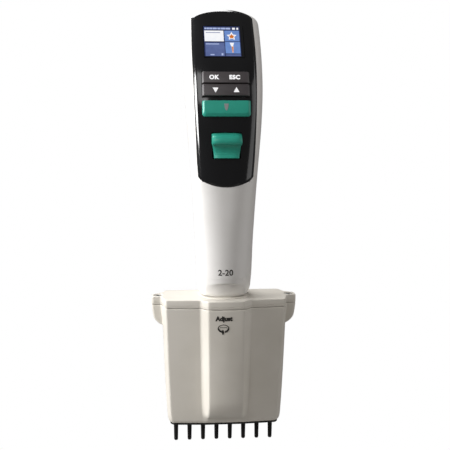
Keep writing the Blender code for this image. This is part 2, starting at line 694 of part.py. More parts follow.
def make_cones():
    top, end = BLOCK_Z[0] - GAP, -CONE_LENGTH
    profile = [(2.5, top), (2.5, 5.5), (1.6, 4.3), (1.55, -1), (1.32, end + 0.9), (0.98, end)]
    profile += [(0.5, end), (0.5, top)]
    for k, x in enumerate(channel_x()):
        turned(f"tip_cone_{k + 1}", profile, FINISH["black_pvdf"], (x, 0), 12)


def make_crosshead():
    low, high = CROSSHEAD_Z
    plate = add_object("crosshead", box_mesh((-34, -4, low), (34, 4, high)), FINISH["white_pom"])
    join_with(plate, round_mesh(7.0, (0, 0, low), (0, 0, high + 4.6), 24), "cup")
    cut_with(plate, round_mesh(5.3, (0, 0, high + 0.6), (0, 0, high + 6), 24), "socket")
    cut_with(plate, holes(POST_R + 0.4, low - 2, high + 2, (-POST_X, POST_X)), "post_holes")
    cap = tube_profile(SCREW_R + 0.4, 7.0, high + 4.9, high + 6.9)
    turned("coupling_cap", cap, FINISH["zinc_steel"], segments=24)
    for k, x in enumerate(channel_x()):
        rod = [(0, low - GAP), (PISTON_R, low - GAP), (PISTON_R, 12), (0, 12)]
        turned(f"piston_{k + 1}", rod, FINISH["zinc_steel"], (x, 0), 10)


def make_ejector_frame():
    """The yoke under the lid, its two posts, and the plate that pushes the tips off."""
    tube = tube_profile(*PUSHER_R, YOKE_Z[0], YOKE_TOP)
    yoke = turned("ejector_yoke", tube, FINISH["white_pom"], segments=24)
    for side in (-1, 1):
        arm = sorted((side * 8.2, side * 30))
        join_with(yoke, box_mesh((arm[0], -3, YOKE_Z[0] + 0.2), (arm[1], 3, YOKE_Z[1])), f"arm{side}")
        name = "ejector_post_right" if side > 0 else "ejector_post_left"
        post = [(0, YOKE_Z[0] - 0.1), (POST_R, YOKE_Z[0] - 0.1), (POST_R, PLATE_T + GAP), (0, PLATE_T + GAP)]
        turned(name, post, FINISH["zinc_steel"], (side * POST_X, 0), 12)
    plan = manifold_outline(HOUSING_Z[0])
    loop = moved_in(full_loop(plan, 0.0), 0.2)
    rings = [loop, [(x, y, PLATE_T) for x, y, _ in loop]]
    plate = add_object("ejector_plate", loft_mesh(rings), FINISH["black_abs"])
    cut_with(plate, holes(2.05, -1, PLATE_T + 1, channel_x()), "cone_holes")


clear_scene()
PARTS = new_collection("electronic_pipette")
CUTTERS = new_collection("cutters")
FINISH = {
    "white_abs": finish_of("white_abs", (0.86, 0.85, 0.83), 0.38),
    "ivory_abs": finish_of("ivory_abs", (0.78, 0.75, 0.68), 0.42),
    "black_gloss": finish_of("black_gloss", (0.012, 0.012, 0.013), 0.12),
    "black_abs": finish_of("black_abs", (0.015, 0.015, 0.016), 0.5),
    "black_pvdf": finish_of("black_pvdf", (0.01, 0.01, 0.011), 0.35),
    "key_grey": finish_of("key_grey", (0.065, 0.06, 0.065), 0.45),
    "teal": finish_of("teal", (0.03, 0.33, 0.26), 0.35),
    "clear_acrylic": finish_of("clear_acrylic", (0.1, 0.16, 0.35), 0.08),
    "lcd": finish_of("lcd", (0.1, 0.15, 0.35), 0.3),
    "board_green": finish_of("board_green", (0.02, 0.16, 0.07), 0.45),
    "silicone": finish_of("silicone", (0.35, 0.35, 0.36), 0.6),
    "blue_wrap": finish_of("blue_wrap", (0.03, 0.1, 0.35), 0.4),
    "white_pom": finish_of("white_pom", (0.8, 0.8, 0.78), 0.4),
    "grey_pps": finish_of("grey_pps", (0.2, 0.2, 0.21), 0.5),
    "zinc_steel": finish_of("zinc_steel", (0.6, 0.6, 0.62), 0.3, 1.0),
    "spring_steel": finish_of("spring_steel", (0.5, 0.5, 0.52), 0.3, 1.0),
    "brass": finish_of("brass", (0.7, 0.5, 0.2), 0.3, 1.0),
}
make_shells()
make_panel()
make_display()
make_keys()
make_ejector_bar()
make_trigger()
make_drive()
make_ejector_rod()
make_small_fittings()
make_housing()
make_lid()
make_channel_block()
make_cones()
make_crosshead()
make_ejector_frame()
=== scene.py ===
# %% [markdown]
# # An electronic eight-channel pipette
# A laboratory pipette that draws up eight samples at once. A white handle carries the display, the keys,
# the tip ejector bar and the trigger; below it an ivory manifold holds eight black cones for disposable
# tips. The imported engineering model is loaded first. It gives every size and place, and everything made
# here rides on it.

# %% Load the engineering model
import json
from math import asin, cos, exp, hypot, pi, radians, sin

import bmesh
import bpy
import numpy as np
from mathutils import Matrix, Vector


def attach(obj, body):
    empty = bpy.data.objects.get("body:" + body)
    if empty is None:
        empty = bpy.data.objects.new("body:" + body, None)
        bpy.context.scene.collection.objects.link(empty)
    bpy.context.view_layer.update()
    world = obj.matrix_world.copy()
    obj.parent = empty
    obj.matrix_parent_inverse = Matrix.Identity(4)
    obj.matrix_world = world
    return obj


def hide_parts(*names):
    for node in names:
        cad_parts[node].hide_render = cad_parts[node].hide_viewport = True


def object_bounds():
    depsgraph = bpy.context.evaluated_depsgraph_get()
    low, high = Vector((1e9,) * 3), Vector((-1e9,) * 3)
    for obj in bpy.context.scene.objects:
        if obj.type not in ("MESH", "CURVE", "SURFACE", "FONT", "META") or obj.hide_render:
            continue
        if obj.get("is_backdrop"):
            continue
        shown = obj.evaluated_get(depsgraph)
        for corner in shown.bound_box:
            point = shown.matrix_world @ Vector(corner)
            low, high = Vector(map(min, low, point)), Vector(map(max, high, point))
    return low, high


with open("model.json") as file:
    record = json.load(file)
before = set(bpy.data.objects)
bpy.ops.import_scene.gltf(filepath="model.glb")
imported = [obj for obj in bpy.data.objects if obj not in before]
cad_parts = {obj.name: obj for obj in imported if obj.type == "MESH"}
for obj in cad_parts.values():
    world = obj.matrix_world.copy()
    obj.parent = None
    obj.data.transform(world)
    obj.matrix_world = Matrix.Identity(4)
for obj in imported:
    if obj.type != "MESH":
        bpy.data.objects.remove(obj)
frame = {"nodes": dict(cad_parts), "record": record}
NODES = frame["nodes"]
MM = 0.001
cad_low, cad_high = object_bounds()
print("engineering model, mm:", [round((b - a) / MM, 1) for a, b in zip(cad_low, cad_high)])

# %% [markdown]
# ## Camera
# The instrument is seen from a little above and almost square to its display, from far enough away that
# the lines stay nearly parallel. A long lens, 76 mm on a 36 mm sensor, gives that calm product view. The
# three angles are turned about the vertical, then tipped down, then rolled a trace.

# %% Camera
def look(yaw, pitch, roll):
    """The camera's axes from its three angles in degrees."""
    turn = Matrix.Rotation(radians(yaw), 3, "Z") @ Matrix.Rotation(radians(pitch), 3, "X")
    axes = turn @ Matrix.Rotation(radians(roll), 3, "Y")
    right, forward, up = axes.col
    return Matrix((right, up, -forward)).transposed()


camera = bpy.data.objects.new("camera", bpy.data.cameras.new("camera"))
bpy.context.collection.objects.link(camera)
camera.data.lens = 76.32
camera.data.sensor_width = 36.0
camera.data.clip_start = 0.02
camera.location = (-0.0551, -0.6097, 0.2229)
camera.rotation_euler = look(-5.23, -8.56, -0.24).to_euler()
bpy.context.scene.camera = camera
bpy.context.scene.view_settings.view_transform = "Standard"
print("camera stands", round(camera.location.length, 3), "m from the foot of the manifold")

# %% [markdown]
# ## Colour and node helpers
# Colours are written as sRGB hex codes, as a paint maker's card would give them, and one function turns
# them into the linear values that the shaders need. One small function adds any shader node and fills or
# links its sockets. Two more open an empty material and close it with its shader, so each material below
# reads as a short recipe.

# %% Helpers for materials
def linear(code):
    """Linear RGBA from an sRGB hex code."""
    parts = [int(code[i : i + 2], 16) / 255 for i in (1, 3, 5)]
    return (*[p / 12.92 if p <= 0.04045 else ((p + 0.055) / 1.055) ** 2.4 for p in parts], 1.0)


def node(tree, kind, **sockets):
    """Adds one node. A socket given another node's output is linked, and any other value is set."""
    made = tree.nodes.new(kind)
    for name, value in sockets.items():
        socket = made.inputs[name.replace("_", " ")]
        if isinstance(value, bpy.types.NodeSocket):
            tree.links.new(value, socket)
        else:
            socket.default_value = value
    return made


def per_mm(size):
    """Texture scale that repeats every so many millimetres on a model drawn in metres."""
    return 1 / (size * MM)


def ramp(tree, factor, stops):
    """A colour ramp from (place, colour) pairs."""
    made = node(tree, "ShaderNodeValToRGB", Fac=factor)
    band = made.color_ramp
    while len(band.elements) < len(stops):
        band.elements.new(0.5)
    for element, (place, colour) in zip(band.elements, stops):
        element.position = place
        element.color = colour
    return made.outputs["Color"]


def blank_material(name):
    """A new material, its empty node tree and the object coordinates that its textures follow."""
    mat = bpy.data.materials.new(name)
    mat.use_nodes = True
    mat.node_tree.nodes.clear()
    return mat, mat.node_tree, node(mat.node_tree, "ShaderNodeTexCoord").outputs["Object"]


def surface(tree, **sockets):
    """Closes a material with the shader that holds its colour, gloss and glow."""
    shader = node(tree, "ShaderNodeBsdfPrincipled", **sockets)
    node(tree, "ShaderNodeOutputMaterial", Surface=shader.outputs["BSDF"])


print("mid grey is", round(linear("#808080")[0], 3), "in linear light")

# %% [markdown]
# ## Moulded plastics
# Almost everything the user touches is injection moulded. A mould with a spark-eroded wall leaves a fine
# even grain, about a quarter of a millimetre across, that turns a highlight soft. Real mouldings also
# vary a little: handling polishes some areas and the melt cools unevenly. So one recipe builds them all:
# a base colour with a faint cloudy drift, a roughness that drifts the same way, and a shallow bump for
# the grain.

# %% Recipe for moulded plastic
def moulded(name, code, shade, rough, grain=0.25, depth=0.004, coat=0.0, ior=1.5, glow=0.0):
    """Moulded plastic: its colour, a slightly deeper shade, and the grain's size and depth in mm."""
    mat, tree, place = blank_material(name)
    cloud = node(tree, "ShaderNodeTexNoise", Vector=place, Scale=per_mm(22), Detail=3.0, Roughness=0.5)
    drift = cloud.outputs["Fac"]
    colour = ramp(tree, drift, [(0.35, linear(shade)), (0.65, linear(code))])
    spread = node(tree, "ShaderNodeMapRange", Value=drift, To_Min=rough - 0.02, To_Max=rough + 0.02)
    eroded = node(tree, "ShaderNodeTexNoise", Vector=place, Scale=per_mm(grain), Detail=2.0, Roughness=0.6)
    bump = node(tree, "ShaderNodeBump", Height=eroded.outputs["Fac"], Distance=depth * MM, Strength=0.6)
    surface(
        tree,
        Base_Color=colour,
        Roughness=spread.outputs["Result"],
        IOR=ior,
        Coat_Weight=coat,
        Coat_Roughness=0.1,
        Normal=bump.outputs["Normal"],
        # glow is painted light: the colour itself gives off light; only the white key ink uses it
        Emission_Color=colour,
        Emission_Strength=glow,
    )
    return mat


# White ABS, spark-eroded mould: a bright cool white with a soft, wide highlight
white_abs = moulded("white_abs_moulded", "#EEECEA", "#EAE8E5", 0.36)
# Ivory ABS, aged warmer than the handle: the manifold's housing and lid
ivory_abs = moulded("ivory_abs_moulded", "#E4DFD6", "#DFDAD0", 0.42)
# Black acrylic-topped ABS from a polished mould: deep black with sharp reflections
black_gloss = moulded(
    "black_acrylic_polished", "#141416", "#111113", 0.16, grain=2.5, depth=0.0008, coat=0.6
)
# Teal ABS, semi-gloss mould: the two parts that the thumb works
teal_abs = moulded("teal_abs_semigloss", "#35AC97", "#31A48E", 0.30, grain=0.3, depth=0.003)
# Warm grey ABS key caps, lightly textured so that a gloved thumb doesn't slip
key_abs = moulded("key_abs_textured", "#4A4547", "#454042", 0.42, grain=0.2, depth=0.008)
# Black glass-filled plastic: the plate that strips the tips, the motor's bracket, the socket
black_abs = moulded("black_abs_satin", "#1B1A1A", "#171616", 0.45)
# Black PVDF cones, turned after moulding: waxy, with a narrow bright line down each
black_pvdf = moulded("black_pvdf_turned", "#232120", "#1C1B1A", 0.30, grain=0.4, depth=0.002, ior=1.42)
# Grey PPS block that holds the cones, and white acetal for what slides inside
grey_pps = moulded("grey_pps_moulded", "#7C7C7E", "#757577", 0.5)
white_pom = moulded("white_acetal_moulded", "#E6E6E2", "#DEDEDA", 0.4)
# Silicone: matt and slightly waxy, for the key mat and the strip of piston seals
silicone = moulded("silicone_cast", "#A0A0A2", "#98989A", 0.62, grain=0.5, ior=1.41)
# Solder mask over glass-fibre board, and the shrink film round the cell
board_green = moulded("solder_mask_green", "#1E5B3A", "#184E31", 0.4, grain=0.8, depth=0.01)
blue_film = moulded("shrink_film_blue", "#2A5FA8", "#27589C", 0.35, grain=6.0, depth=0.02)
# Printed ink, charcoal on the pale mouldings; the white on the dark keys carries a painted glow, so it stays
# bright in shade
ink_charcoal = moulded("screen_print_charcoal", "#2A2826", "#242220", 0.5, grain=0.3, depth=0.002)
ink_white_painted_glow = moulded("screen_print_white_painted_glow", "#F0F0F2", "#E8E8EA", 0.5, grain=0.3, depth=0.002, glow=0.55)
print("moulded finishes:", len([m for m in bpy.data.materials if m.use_nodes]))

# %% [markdown]
# ## Metals
# The screws, posts and pistons are zinc-plated steel, the springs are drawn steel, and the rotor's nut is
# brass. A lathe leaves fine rings, so the colour, the roughness and a faint bump follow thin level bands, one
# above the other. Metals keep the default index of refraction and take all their colour from the base colour.

# %% Recipe for turned metal
def turned_metal(name, code, dark, rough, ring=0.4):
    """Metal with fine lathe rings, ring mm apart."""
    mat, tree, place = blank_material(name)
    flat = node(tree, "ShaderNodeMapping", Vector=place, Scale=(0.08, 0.08, 1.0))
    rings = node(tree, "ShaderNodeTexNoise", Vector=flat.outputs["Vector"], Scale=per_mm(ring), Detail=2.0)
    turns = rings.outputs["Fac"]
    colour = ramp(tree, turns, [(0.3, linear(dark)), (0.7, linear(code))])
    spread = node(tree, "ShaderNodeMapRange", Value=turns, To_Min=rough - 0.05, To_Max=rough + 0.08)
    bump = node(tree, "ShaderNodeBump", Height=turns, Distance=0.01 * MM, Strength=0.5)
    gloss = spread.outputs["Result"]
    surface(tree, Base_Color=colour, Metallic=1.0, Roughness=gloss, Normal=bump.outputs["Normal"])
    return mat


# Zinc-plated steel: pale grey with a hint of blue; spring steel is darker, drawn rather than turned
zinc_steel = turned_metal("zinc_plated_steel", "#CFD1D4", "#B9BCC0", 0.28)
spring_steel = turned_metal("spring_steel_drawn", "#A9A9AC", "#8E8E92", 0.3, ring=0.2)
# Brass: a soft yellow glint inside the motor
brass = turned_metal("brass_turned", "#D9B56B", "#C09A50", 0.25)
print("metals:", zinc_steel.name, spring_steel.name, brass.name)

# %% [markdown]
# ## Finishes for the engineering model's own pieces
# Most inner pieces keep the engineering model's own shape, because nobody sees them until a shell comes
# off. They only need the right finish. The record says which material slot each one has, so the finishes
# follow that.

# %% Dress the carried-over pieces
SHARP = 35  # degrees: edges sharper than this stay crisp
SLOT_FINISH = {
    "white_abs": white_abs,
    "ivory_abs": ivory_abs,
    "black_gloss": black_gloss,
    "black_abs": black_abs,
    "black_pvdf": black_pvdf,
    "key_grey": key_abs,
    "teal": teal_abs,
    "clear_acrylic": black_gloss,
    "lcd": board_green,
    "board_green": board_green,
    "silicone": silicone,
    "blue_wrap": blue_film,
    "white_pom": white_pom,
    "grey_pps": grey_pps,
    "zinc_steel": zinc_steel,
    "spring_steel": spring_steel,
    "brass": brass,
}
for entry in frame["record"]["subparts"]:
    mesh = NODES[entry["node"]].data
    mesh.materials.clear()
    mesh.materials.append(SLOT_FINISH[entry["material_slot"]])
    mesh.shade_smooth()
    mesh.set_sharp_from_angle(angle=radians(SHARP))
print("dressed", len(NODES), "carried-over pieces")

# %% [markdown]
# ## Helpers that build surfaces
# Nearly every visible piece here is a skin over a grid of points: rows that climb the piece, columns that
# go round or across it. A grid gives even quads that shade smoothly, and a rounded edge is only a few
# rows close together, just as a mould maker would radius it.

# %% Helpers for skins
def new_piece(name, bm, finish, body, replaces=(), smooth=SHARP):
    """Turns a bmesh drawn in millimetres into a piece that rides on a body."""
    bmesh.ops.remove_doubles(bm, verts=bm.verts, dist=0.0005)
    bmesh.ops.recalc_face_normals(bm, faces=bm.faces)
    bmesh.ops.transform(bm, matrix=Matrix.Scale(MM, 4), verts=bm.verts)
    mesh = bpy.data.meshes.new(name)
    bm.to_mesh(mesh)
    bm.free()
    for each in finish if isinstance(finish, (list, tuple)) else [finish]:
        mesh.materials.append(each)
    mesh.shade_smooth()
    mesh.set_sharp_from_angle(angle=radians(smooth))
    obj = bpy.data.objects.new(name, mesh)
    bpy.context.collection.objects.link(obj)
    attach(obj, body)
    if replaces:
        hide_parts(*replaces)
    return obj


def grid_skin(bm, rows, wrap=False, cap_low=False, cap_high=False, slot=0):
    """Adds a skin over rows of points. wrap joins each row's ends; a cap closes the first or last row."""
    verts = [[bm.verts.new(p) for p in row] for row in rows]
    count = len(rows[0])
    for low, high in zip(verts, verts[1:]):
        for c in range(count if wrap else count - 1):
            n = (c + 1) % count
            bm.faces.new((low[c], low[n], high[n], high[c])).material_index = slot
    if cap_low:
        bm.faces.new(verts[0][::-1]).material_index = slot
    if cap_high:
        bm.faces.new(verts[-1]).material_index = slot
    return bm


def cut(obj, bm, operation="DIFFERENCE"):
    """Cuts a bmesh drawn in millimetres out of a piece and applies it."""
    bmesh.ops.recalc_face_normals(bm, faces=bm.faces)
    bmesh.ops.transform(bm, matrix=Matrix.Scale(MM, 4), verts=bm.verts)
    mesh = bpy.data.meshes.new("cutter")
    bm.to_mesh(mesh)
    bm.free()
    tool = bpy.data.objects.new("cutter", mesh)
    bpy.context.collection.objects.link(tool)
    step = obj.modifiers.new("cut", "BOOLEAN")
    step.operation = operation
    step.solver = "EXACT"
    step.object = tool
    bpy.context.view_layer.update()
    shaped = bpy.data.meshes.new_from_object(obj.evaluated_get(bpy.context.evaluated_depsgraph_get()))
    obj.modifiers.clear()
    obj.data = shaped
    bpy.data.objects.remove(tool)
    shaped.shade_smooth()
    shaped.set_sharp_from_angle(angle=radians(SHARP))


def smoothstep(low, high, value):
    """0 at low, 1 at high, with a soft start and stop between them."""
    t = min(max((value - low) / (high - low), 0.0), 1.0)
    return t * t * (3 - 2 * t)


print("skin helpers ready")

# %% [markdown]
# ## The handle's form
# The handle is a tube whose section changes as it climbs: round at the neck, squarer at the front further
# up, and leaning back where the display is, so that the user looks straight at it. A table of sections
# says this at a few heights, the same table that the engineering model was made from, and a cubic curve
# joins them smoothly. Each section is a superellipse, a curve between a circle and a square.

# %% Sections of the handle
# height, face y, tilt in degrees, half width, depth, squareness of the front; lengths in mm
SECTIONS = np.array(
    [
        (86.0, -15.0, 0.0, 15.0, 30.0, 2.0),
        (87.5, -16.3, 0.0, 16.1, 32.5, 2.0),
        (90.5, -17.5, 0.0, 17.1, 34.8, 2.05),
        (95.0, -18.2, 0.0, 17.6, 36.0, 2.1),
        (105.0, -18.3, 0.0, 18.1, 36.2, 2.15),
        (120.0, -18.0, 0.0, 18.6, 35.8, 2.2),
        (135.0, -17.7, 0.0, 19.4, 35.2, 2.35),
        (150.0, -17.3, 0.5, 20.3, 34.6, 2.5),
        (165.0, -17.0, 1.5, 21.3, 34.2, 2.7),
        (180.0, -16.5, 3.5, 22.4, 34.0, 2.9),
        (190.0, -15.8, 6.0, 23.2, 34.0, 3.0),
        (201.0, -14.3, 10.0, 23.9, 33.5, 3.1),
        (210.5, -12.2, 15.0, 24.4, 32.8, 3.2),
        (221.0, -8.7, 21.5, 24.8, 31.5, 3.3),
        (228.6, -5.3, 26.5, 25.0, 30.5, 3.3),
        (238.4, 0.6, 32.5, 25.2, 29.3, 3.3),
        (248.0, 7.4, 36.0, 25.3, 28.4, 3.3),
        (257.7, 14.8, 37.5, 25.2, 27.8, 3.3),
        (264.0, 19.6, 38.0, 25.0, 27.5, 3.3),
        (272.0, 25.8, 38.0, 24.8, 27.2, 3.3),
    ]
)
SLOPES = np.gradient(SECTIONS, SECTIONS[:, 0], axis=0)
REAR_POWER = 2.3
DOME_Z, DOME_H = 264.0, 7.5


def section(z):
    """Face y, tilt, half width, depth and squareness at a height."""
    heights = SECTIONS[:, 0]
    i = int(np.clip(np.searchsorted(heights, z) - 1, 0, len(heights) - 2))
    span = heights[i + 1] - heights[i]
    t = (z - heights[i]) / span
    blend = (2 * t**3 - 3 * t**2 + 1) * SECTIONS[i] + (t**3 - 2 * t**2 + t) * SLOPES[i] * span
    blend = blend + (3 * t**2 - 2 * t**3) * SECTIONS[i + 1] + (t**3 - t**2) * SLOPES[i + 1] * span
    return blend[1:]


def behind_face(z, x, depth):
    """The point at a depth behind the face, square to it."""
    face_y, tilt = section(z)[:2]
    return Vector((x, face_y + depth * cos(radians(tilt)), z - depth * sin(radians(tilt))))


def face_drop(z, x):
    """How far the face falls back from its centre line at x."""
    _, _, half, deep, power = section(z)
    return deep / 2 * (1 - (1 - min(abs(x) / half, 1.0) ** power) ** (1 / power))


def face_frame(z):
    """A frame on the face: x across, y up along the face, z straight out of it."""
    face_y, tilt = section(z)[:2]
    a = radians(tilt)
    axes = Matrix(((1, 0, 0), (0, sin(a), -cos(a)), (0, cos(a), sin(a)))).to_4x4()
    return Matrix.Translation((0, face_y, z)) @ axes


def handle_point(level, angle, inset=0.0):
    """A point of the handle's skin: angle 0 at the right, 90 degrees in front. The dome closes the top."""
    dome = min(max((level - DOME_Z) / DOME_H, 0.0), 0.999)
    _, _, half, deep, power = section(level)
    shrink = (1 - dome**2.5) ** 0.4
    c, s = cos(angle), sin(angle)
    bend = 2 / (power if s > 0 else REAR_POWER)
    x = (half - inset) * shrink * np.sign(c) * abs(c) ** bend
    swing = np.sign(s) * abs(s) ** bend
    return behind_face(level, x, deep / 2 - (deep / 2 - inset) * shrink * swing)


print("handle at the display is", round(2 * section(248)[2], 1), "mm wide")

# %% [markdown]
# ## Front and rear shells
# The handle is moulded as two thin shells that meet on the sides. Each edge is rolled inward with a small
# radius, and a gap of 0.3 mm is left between them, so a fine dark seam shows. The skin is drawn straight
# from the sections, one row every couple of millimetres, which is finer than any facet the eye could
# find. Low on the neck a fine step marks the collar, and below an arch on its front a scoop falls away,
# so the rows are closer there.

# %% Front and rear shells
SEAM_GAP = 0.3
COLLAR_Z = 98.0


def seam_angle(level, shift):
    """The angle where the shells meet, on the right. shift moves it towards the front, in mm."""
    _, _, _, deep, power = section(level)
    share = np.interp(level, (110, 200), (0.5, 0.27)) - shift / deep
    swing = 1 - 2 * share
    bend = 2 / (power if swing > 0 else REAR_POWER)
    return asin(np.sign(swing) * abs(swing) ** (1 / bend))


def collar_inset(level, x, front):
    """How far the skin steps in below the collar's edge, and into the scoop under the arch in front."""
    step = 0.12 * smoothstep(COLLAR_Z + 0.5, COLLAR_Z, level)
    arch = 95.7 - 1.5 * (x / 11.0) ** 2
    reach = max(0.0, 1 - (x / 12.8) ** 2) ** 0.8 if front else 0.0
    return step + 2.0 * reach * (1 - exp(-max(0.0, arch - level) / 1.9))


low_rows = np.concatenate([[86.0, 86.3, 86.8], np.arange(87.5, 101.0, 0.3)])
dome_shares = (0.12, 0.25, 0.38, 0.5, 0.6, 0.7, 0.78, 0.85, 0.9, 0.94, 0.97, 0.985, 0.994, 0.998)
dome_rows = [DOME_Z + DOME_H * t for t in dome_shares]
LEVELS = np.concatenate([low_rows, np.arange(101.0, DOME_Z, 2.2), [DOME_Z], dome_rows])


def shell_row(level, front):
    """One row of a shell from seam to seam, each end rolled inward."""
    start = seam_angle(level, SEAM_GAP / 2 if front else -SEAM_GAP / 2)
    if not front:
        start = -start
    sweep = np.linspace(start, pi - start, 97)
    step = (sweep[1] - sweep[0]) * 0.5
    angles = [start, start, start, start + step * 0.35, start + step, *sweep[1:-1]]
    angles += [pi - start - step, pi - start - step * 0.35, pi - start, pi - start, pi - start]
    insets = [1.8, 0.5, 0.22, 0.05, 0.0] + [0.0] * 95 + [0.0, 0.05, 0.22, 0.5, 1.8]
    row = []
    for angle, inset in zip(angles, insets):
        turned = angle if front else -angle
        x = handle_point(level, turned).x
        row.append(handle_point(level, turned, inset + collar_inset(level, x, front)))
    return row


# the panel's half width at a few heights, its ends, and how far those ends are bowed
PANEL_HALF = np.array(
    [(157, 17), (175, 18.4), (195, 19.2), (215, 19.9), (240, 20.5), (256, 20.3), (269, 19.8)]
)
PANEL_Z = (157.1, 269.0)
PANEL_BOW = (4.9, 3.0)


def panel_half(z):
    """Half width of the face panel at a height, its table's corners rounded off."""
    near = [np.interp(z + d, *PANEL_HALF.T) for d in (-6, -3, 0, 3, 6)]
    return float(np.mean(near))


def under_panel(p, level, margin):
    """True where the panel covers the shell with that much to spare."""
    if not PANEL_Z[0] + PANEL_BOW[0] + 0.1 < level < PANEL_Z[1] - 3.5:
        return False
    bowed = PANEL_Z[0] + PANEL_BOW[0] * (p.x / 17.5) ** 2 + margin
    return level > bowed and abs(p.x) < panel_half(level) - margin


def make_shell(name, front):
    """A shell's skin, left open where the panel hides it."""
    bm = bmesh.new()
    rows = [shell_row(level, front) for level in LEVELS]
    lip = [Vector((p.x * 0.9, p.y * 0.9, 86.4)) for p in rows[0]]
    grid_skin(bm, [lip] + rows)
    if front:
        bm.verts.ensure_lookup_table()
        count = len(rows[0])
        hidden = []
        for r, level in enumerate(LEVELS):
            for c, p in enumerate(rows[r]):
                if under_panel(p, level, 2.0) and 8 < c < count - 8:
                    hidden.append(bm.verts[(r + 1) * count + c])
        bmesh.ops.delete(bm, geom=hidden, context="VERTS")
    return new_piece(name, bm, white_abs, "handle", [name.replace("_skin", "")], smooth=50)


front_skin = make_shell("front_shell_skin", True)
rear_skin = make_shell("rear_shell_skin", False)
print("shell skins:", len(front_skin.data.polygons), "and", len(rear_skin.data.polygons), "faces")

# %% [markdown]
# ## The black face panel
# A glossy plate lies on the face and frames everything the thumb and eye use. Its outline swells gently
# towards the head and ends in bowed top and bottom edges. All round it a narrow chamfer falls away to the
# shell, and it is this chamfer that catches light as a thin line. It is drawn as a grid whose outer rows
# sit close together for the chamfer, and the openings for the moving parts are then cut through it.

# %% Face panel
CHAMFER = 1.7
PANEL_LIFT = 0.8
EDGE_STEPS = (0.0, 0.25, 0.6, 1.1, 1.5, CHAMFER, 1.85, 2.1, 2.8)


def spaced(half_mm, count):
    """Shares from -1 to 1, close together at both ends for the chamfer."""
    edge = [1 - d / half_mm for d in EDGE_STEPS]
    middle = np.linspace(-edge[-1], edge[-1], count)
    return [-e for e in edge[:-1]] + list(middle) + edge[-2::-1]


def panel_lift(edge):
    """Height of the panel over the face at a distance from its edge."""
    slope = min(edge / CHAMFER, 1.0)
    return 0.12 + (PANEL_LIFT - 0.12) * slope - 0.05 * smoothstep(0.5, 0.0, edge)


def panel_grid(top):
    """Rows of points over the panel's glossy side, or over its underside."""
    across, along = spaced(19.3, 31), spaced(55.0, 59)
    rows = []
    for w in along:
        row = []
        for u in across:
            low = PANEL_Z[0] + PANEL_BOW[0] * u * u + 1.6 * abs(u) ** 14
            high = PANEL_Z[1] - PANEL_BOW[1] * u * u - 1.0 * abs(u) ** 14
            z = low + (high - low) * (w + 1) / 2
            x = u * panel_half(z)
            side = (1 - abs(u)) * panel_half(z)
            end = (1 - abs(w)) * (high - low) / 2
            near = 1 / (1 / (side + 0.001) ** 4 + 1 / (end + 0.001) ** 4) ** 0.25
            proud = panel_lift(near) if top else -2.2
            row.append(behind_face(z, x, face_drop(z, x) - proud))
        rows.append(row)
    return rows


def rim_of(grid):
    """The points round the edge of a grid."""
    return grid[0] + [r[-1] for r in grid[1:]] + grid[-1][-2::-1] + [r[0] for r in grid[-2:0:-1]]


def closed_slab(front, back):
    """A solid between two grids of points with the same outline."""
    bm = grid_skin(bmesh.new(), front)
    grid_skin(bm, [row[::-1] for row in back])
    return grid_skin(bm, [rim_of(back), rim_of(front)], wrap=True)


def capped_stack(rows):
    """A solid from a stack of closed outlines."""
    return grid_skin(bmesh.new(), rows, wrap=True, cap_low=True, cap_high=True)


def face_block(z, width, tall, low, high, lift=0.0, corner=0.6):
    """A block on the face with rounded corners: width across, length up the face, span outwards."""
    half_x, half_y = width / 2 - corner, tall / 2 - corner
    ring = []
    for quarter, (sx, sy) in enumerate(((1, 1), (-1, 1), (-1, -1), (1, -1))):
        for k in range(5):
            a = pi / 2 * (quarter + k / 4)
            ring.append((sx * half_x + corner * cos(a), lift + sy * half_y + corner * sin(a)))
    bm = capped_stack([[(x, y, n) for x, y in ring] for n in (low, high)])
    bmesh.ops.transform(bm, matrix=face_frame(z), verts=bm.verts)
    return bm


# heights of what the panel frames: the display, the two key rows, the ejector bar and the trigger
DISPLAY_Z, KEYS_Z, BAR_Z, TRIGGER_Z = 247.9, (224.9, 217.2), 205.7, 183.3
slab = closed_slab(panel_grid(True), panel_grid(False))
panel = new_piece("face_panel_glossy", slab, black_gloss, "handle", ["face_panel"], smooth=20)
cut(panel, face_block(DISPLAY_Z, 26.0, 25.8, -6, 5))
cut(panel, face_block(sum(KEYS_Z) / 2, 30.4, 17.4, -6, 5))
cut(panel, face_block(BAR_Z, 8.8, 9.1, -6, 5))
cut(panel, face_block(TRIGGER_Z, 19.2, 9.2, -7, 6, lift=3.6, corner=1.2))
cut(panel, face_block(TRIGGER_Z, 18.0, 8.9, -7, 6, lift=-3.95, corner=1.2))
panel.data.set_sharp_from_angle(angle=radians(20))
print("panel:", len(panel.data.polygons), "faces")

# %% [markdown]
# ## Display
# The colour display sits behind a clear window flush with the panel. It is lit from behind, so its
# picture is drawn as flat tiles that give off light of their own over a smooth dark base, as a lit screen
# looks. The picture is a generic menu: a title bar, two tiles with a line of text each, and a column with
# a star and a pipette tip. Text lines this small read only as strokes, so they are drawn as strokes.

# %% Display picture
def lit_tile(name, code, shade):
    """A display colour: light from behind a diffuser, so it drifts a little between two shades."""
    mat, tree, place = blank_material(name)
    diffuser = node(tree, "ShaderNodeTexNoise", Vector=place, Scale=per_mm(3.0), Detail=1.0)
    glow = ramp(tree, diffuser.outputs["Fac"], [(0.3, linear(shade)), (0.7, linear(code))])
    base = (0.01, 0.01, 0.012, 1.0)
    surface(tree, Base_Color=base, Roughness=0.3, Emission_Color=glow, Emission_Strength=0.95)
    return mat


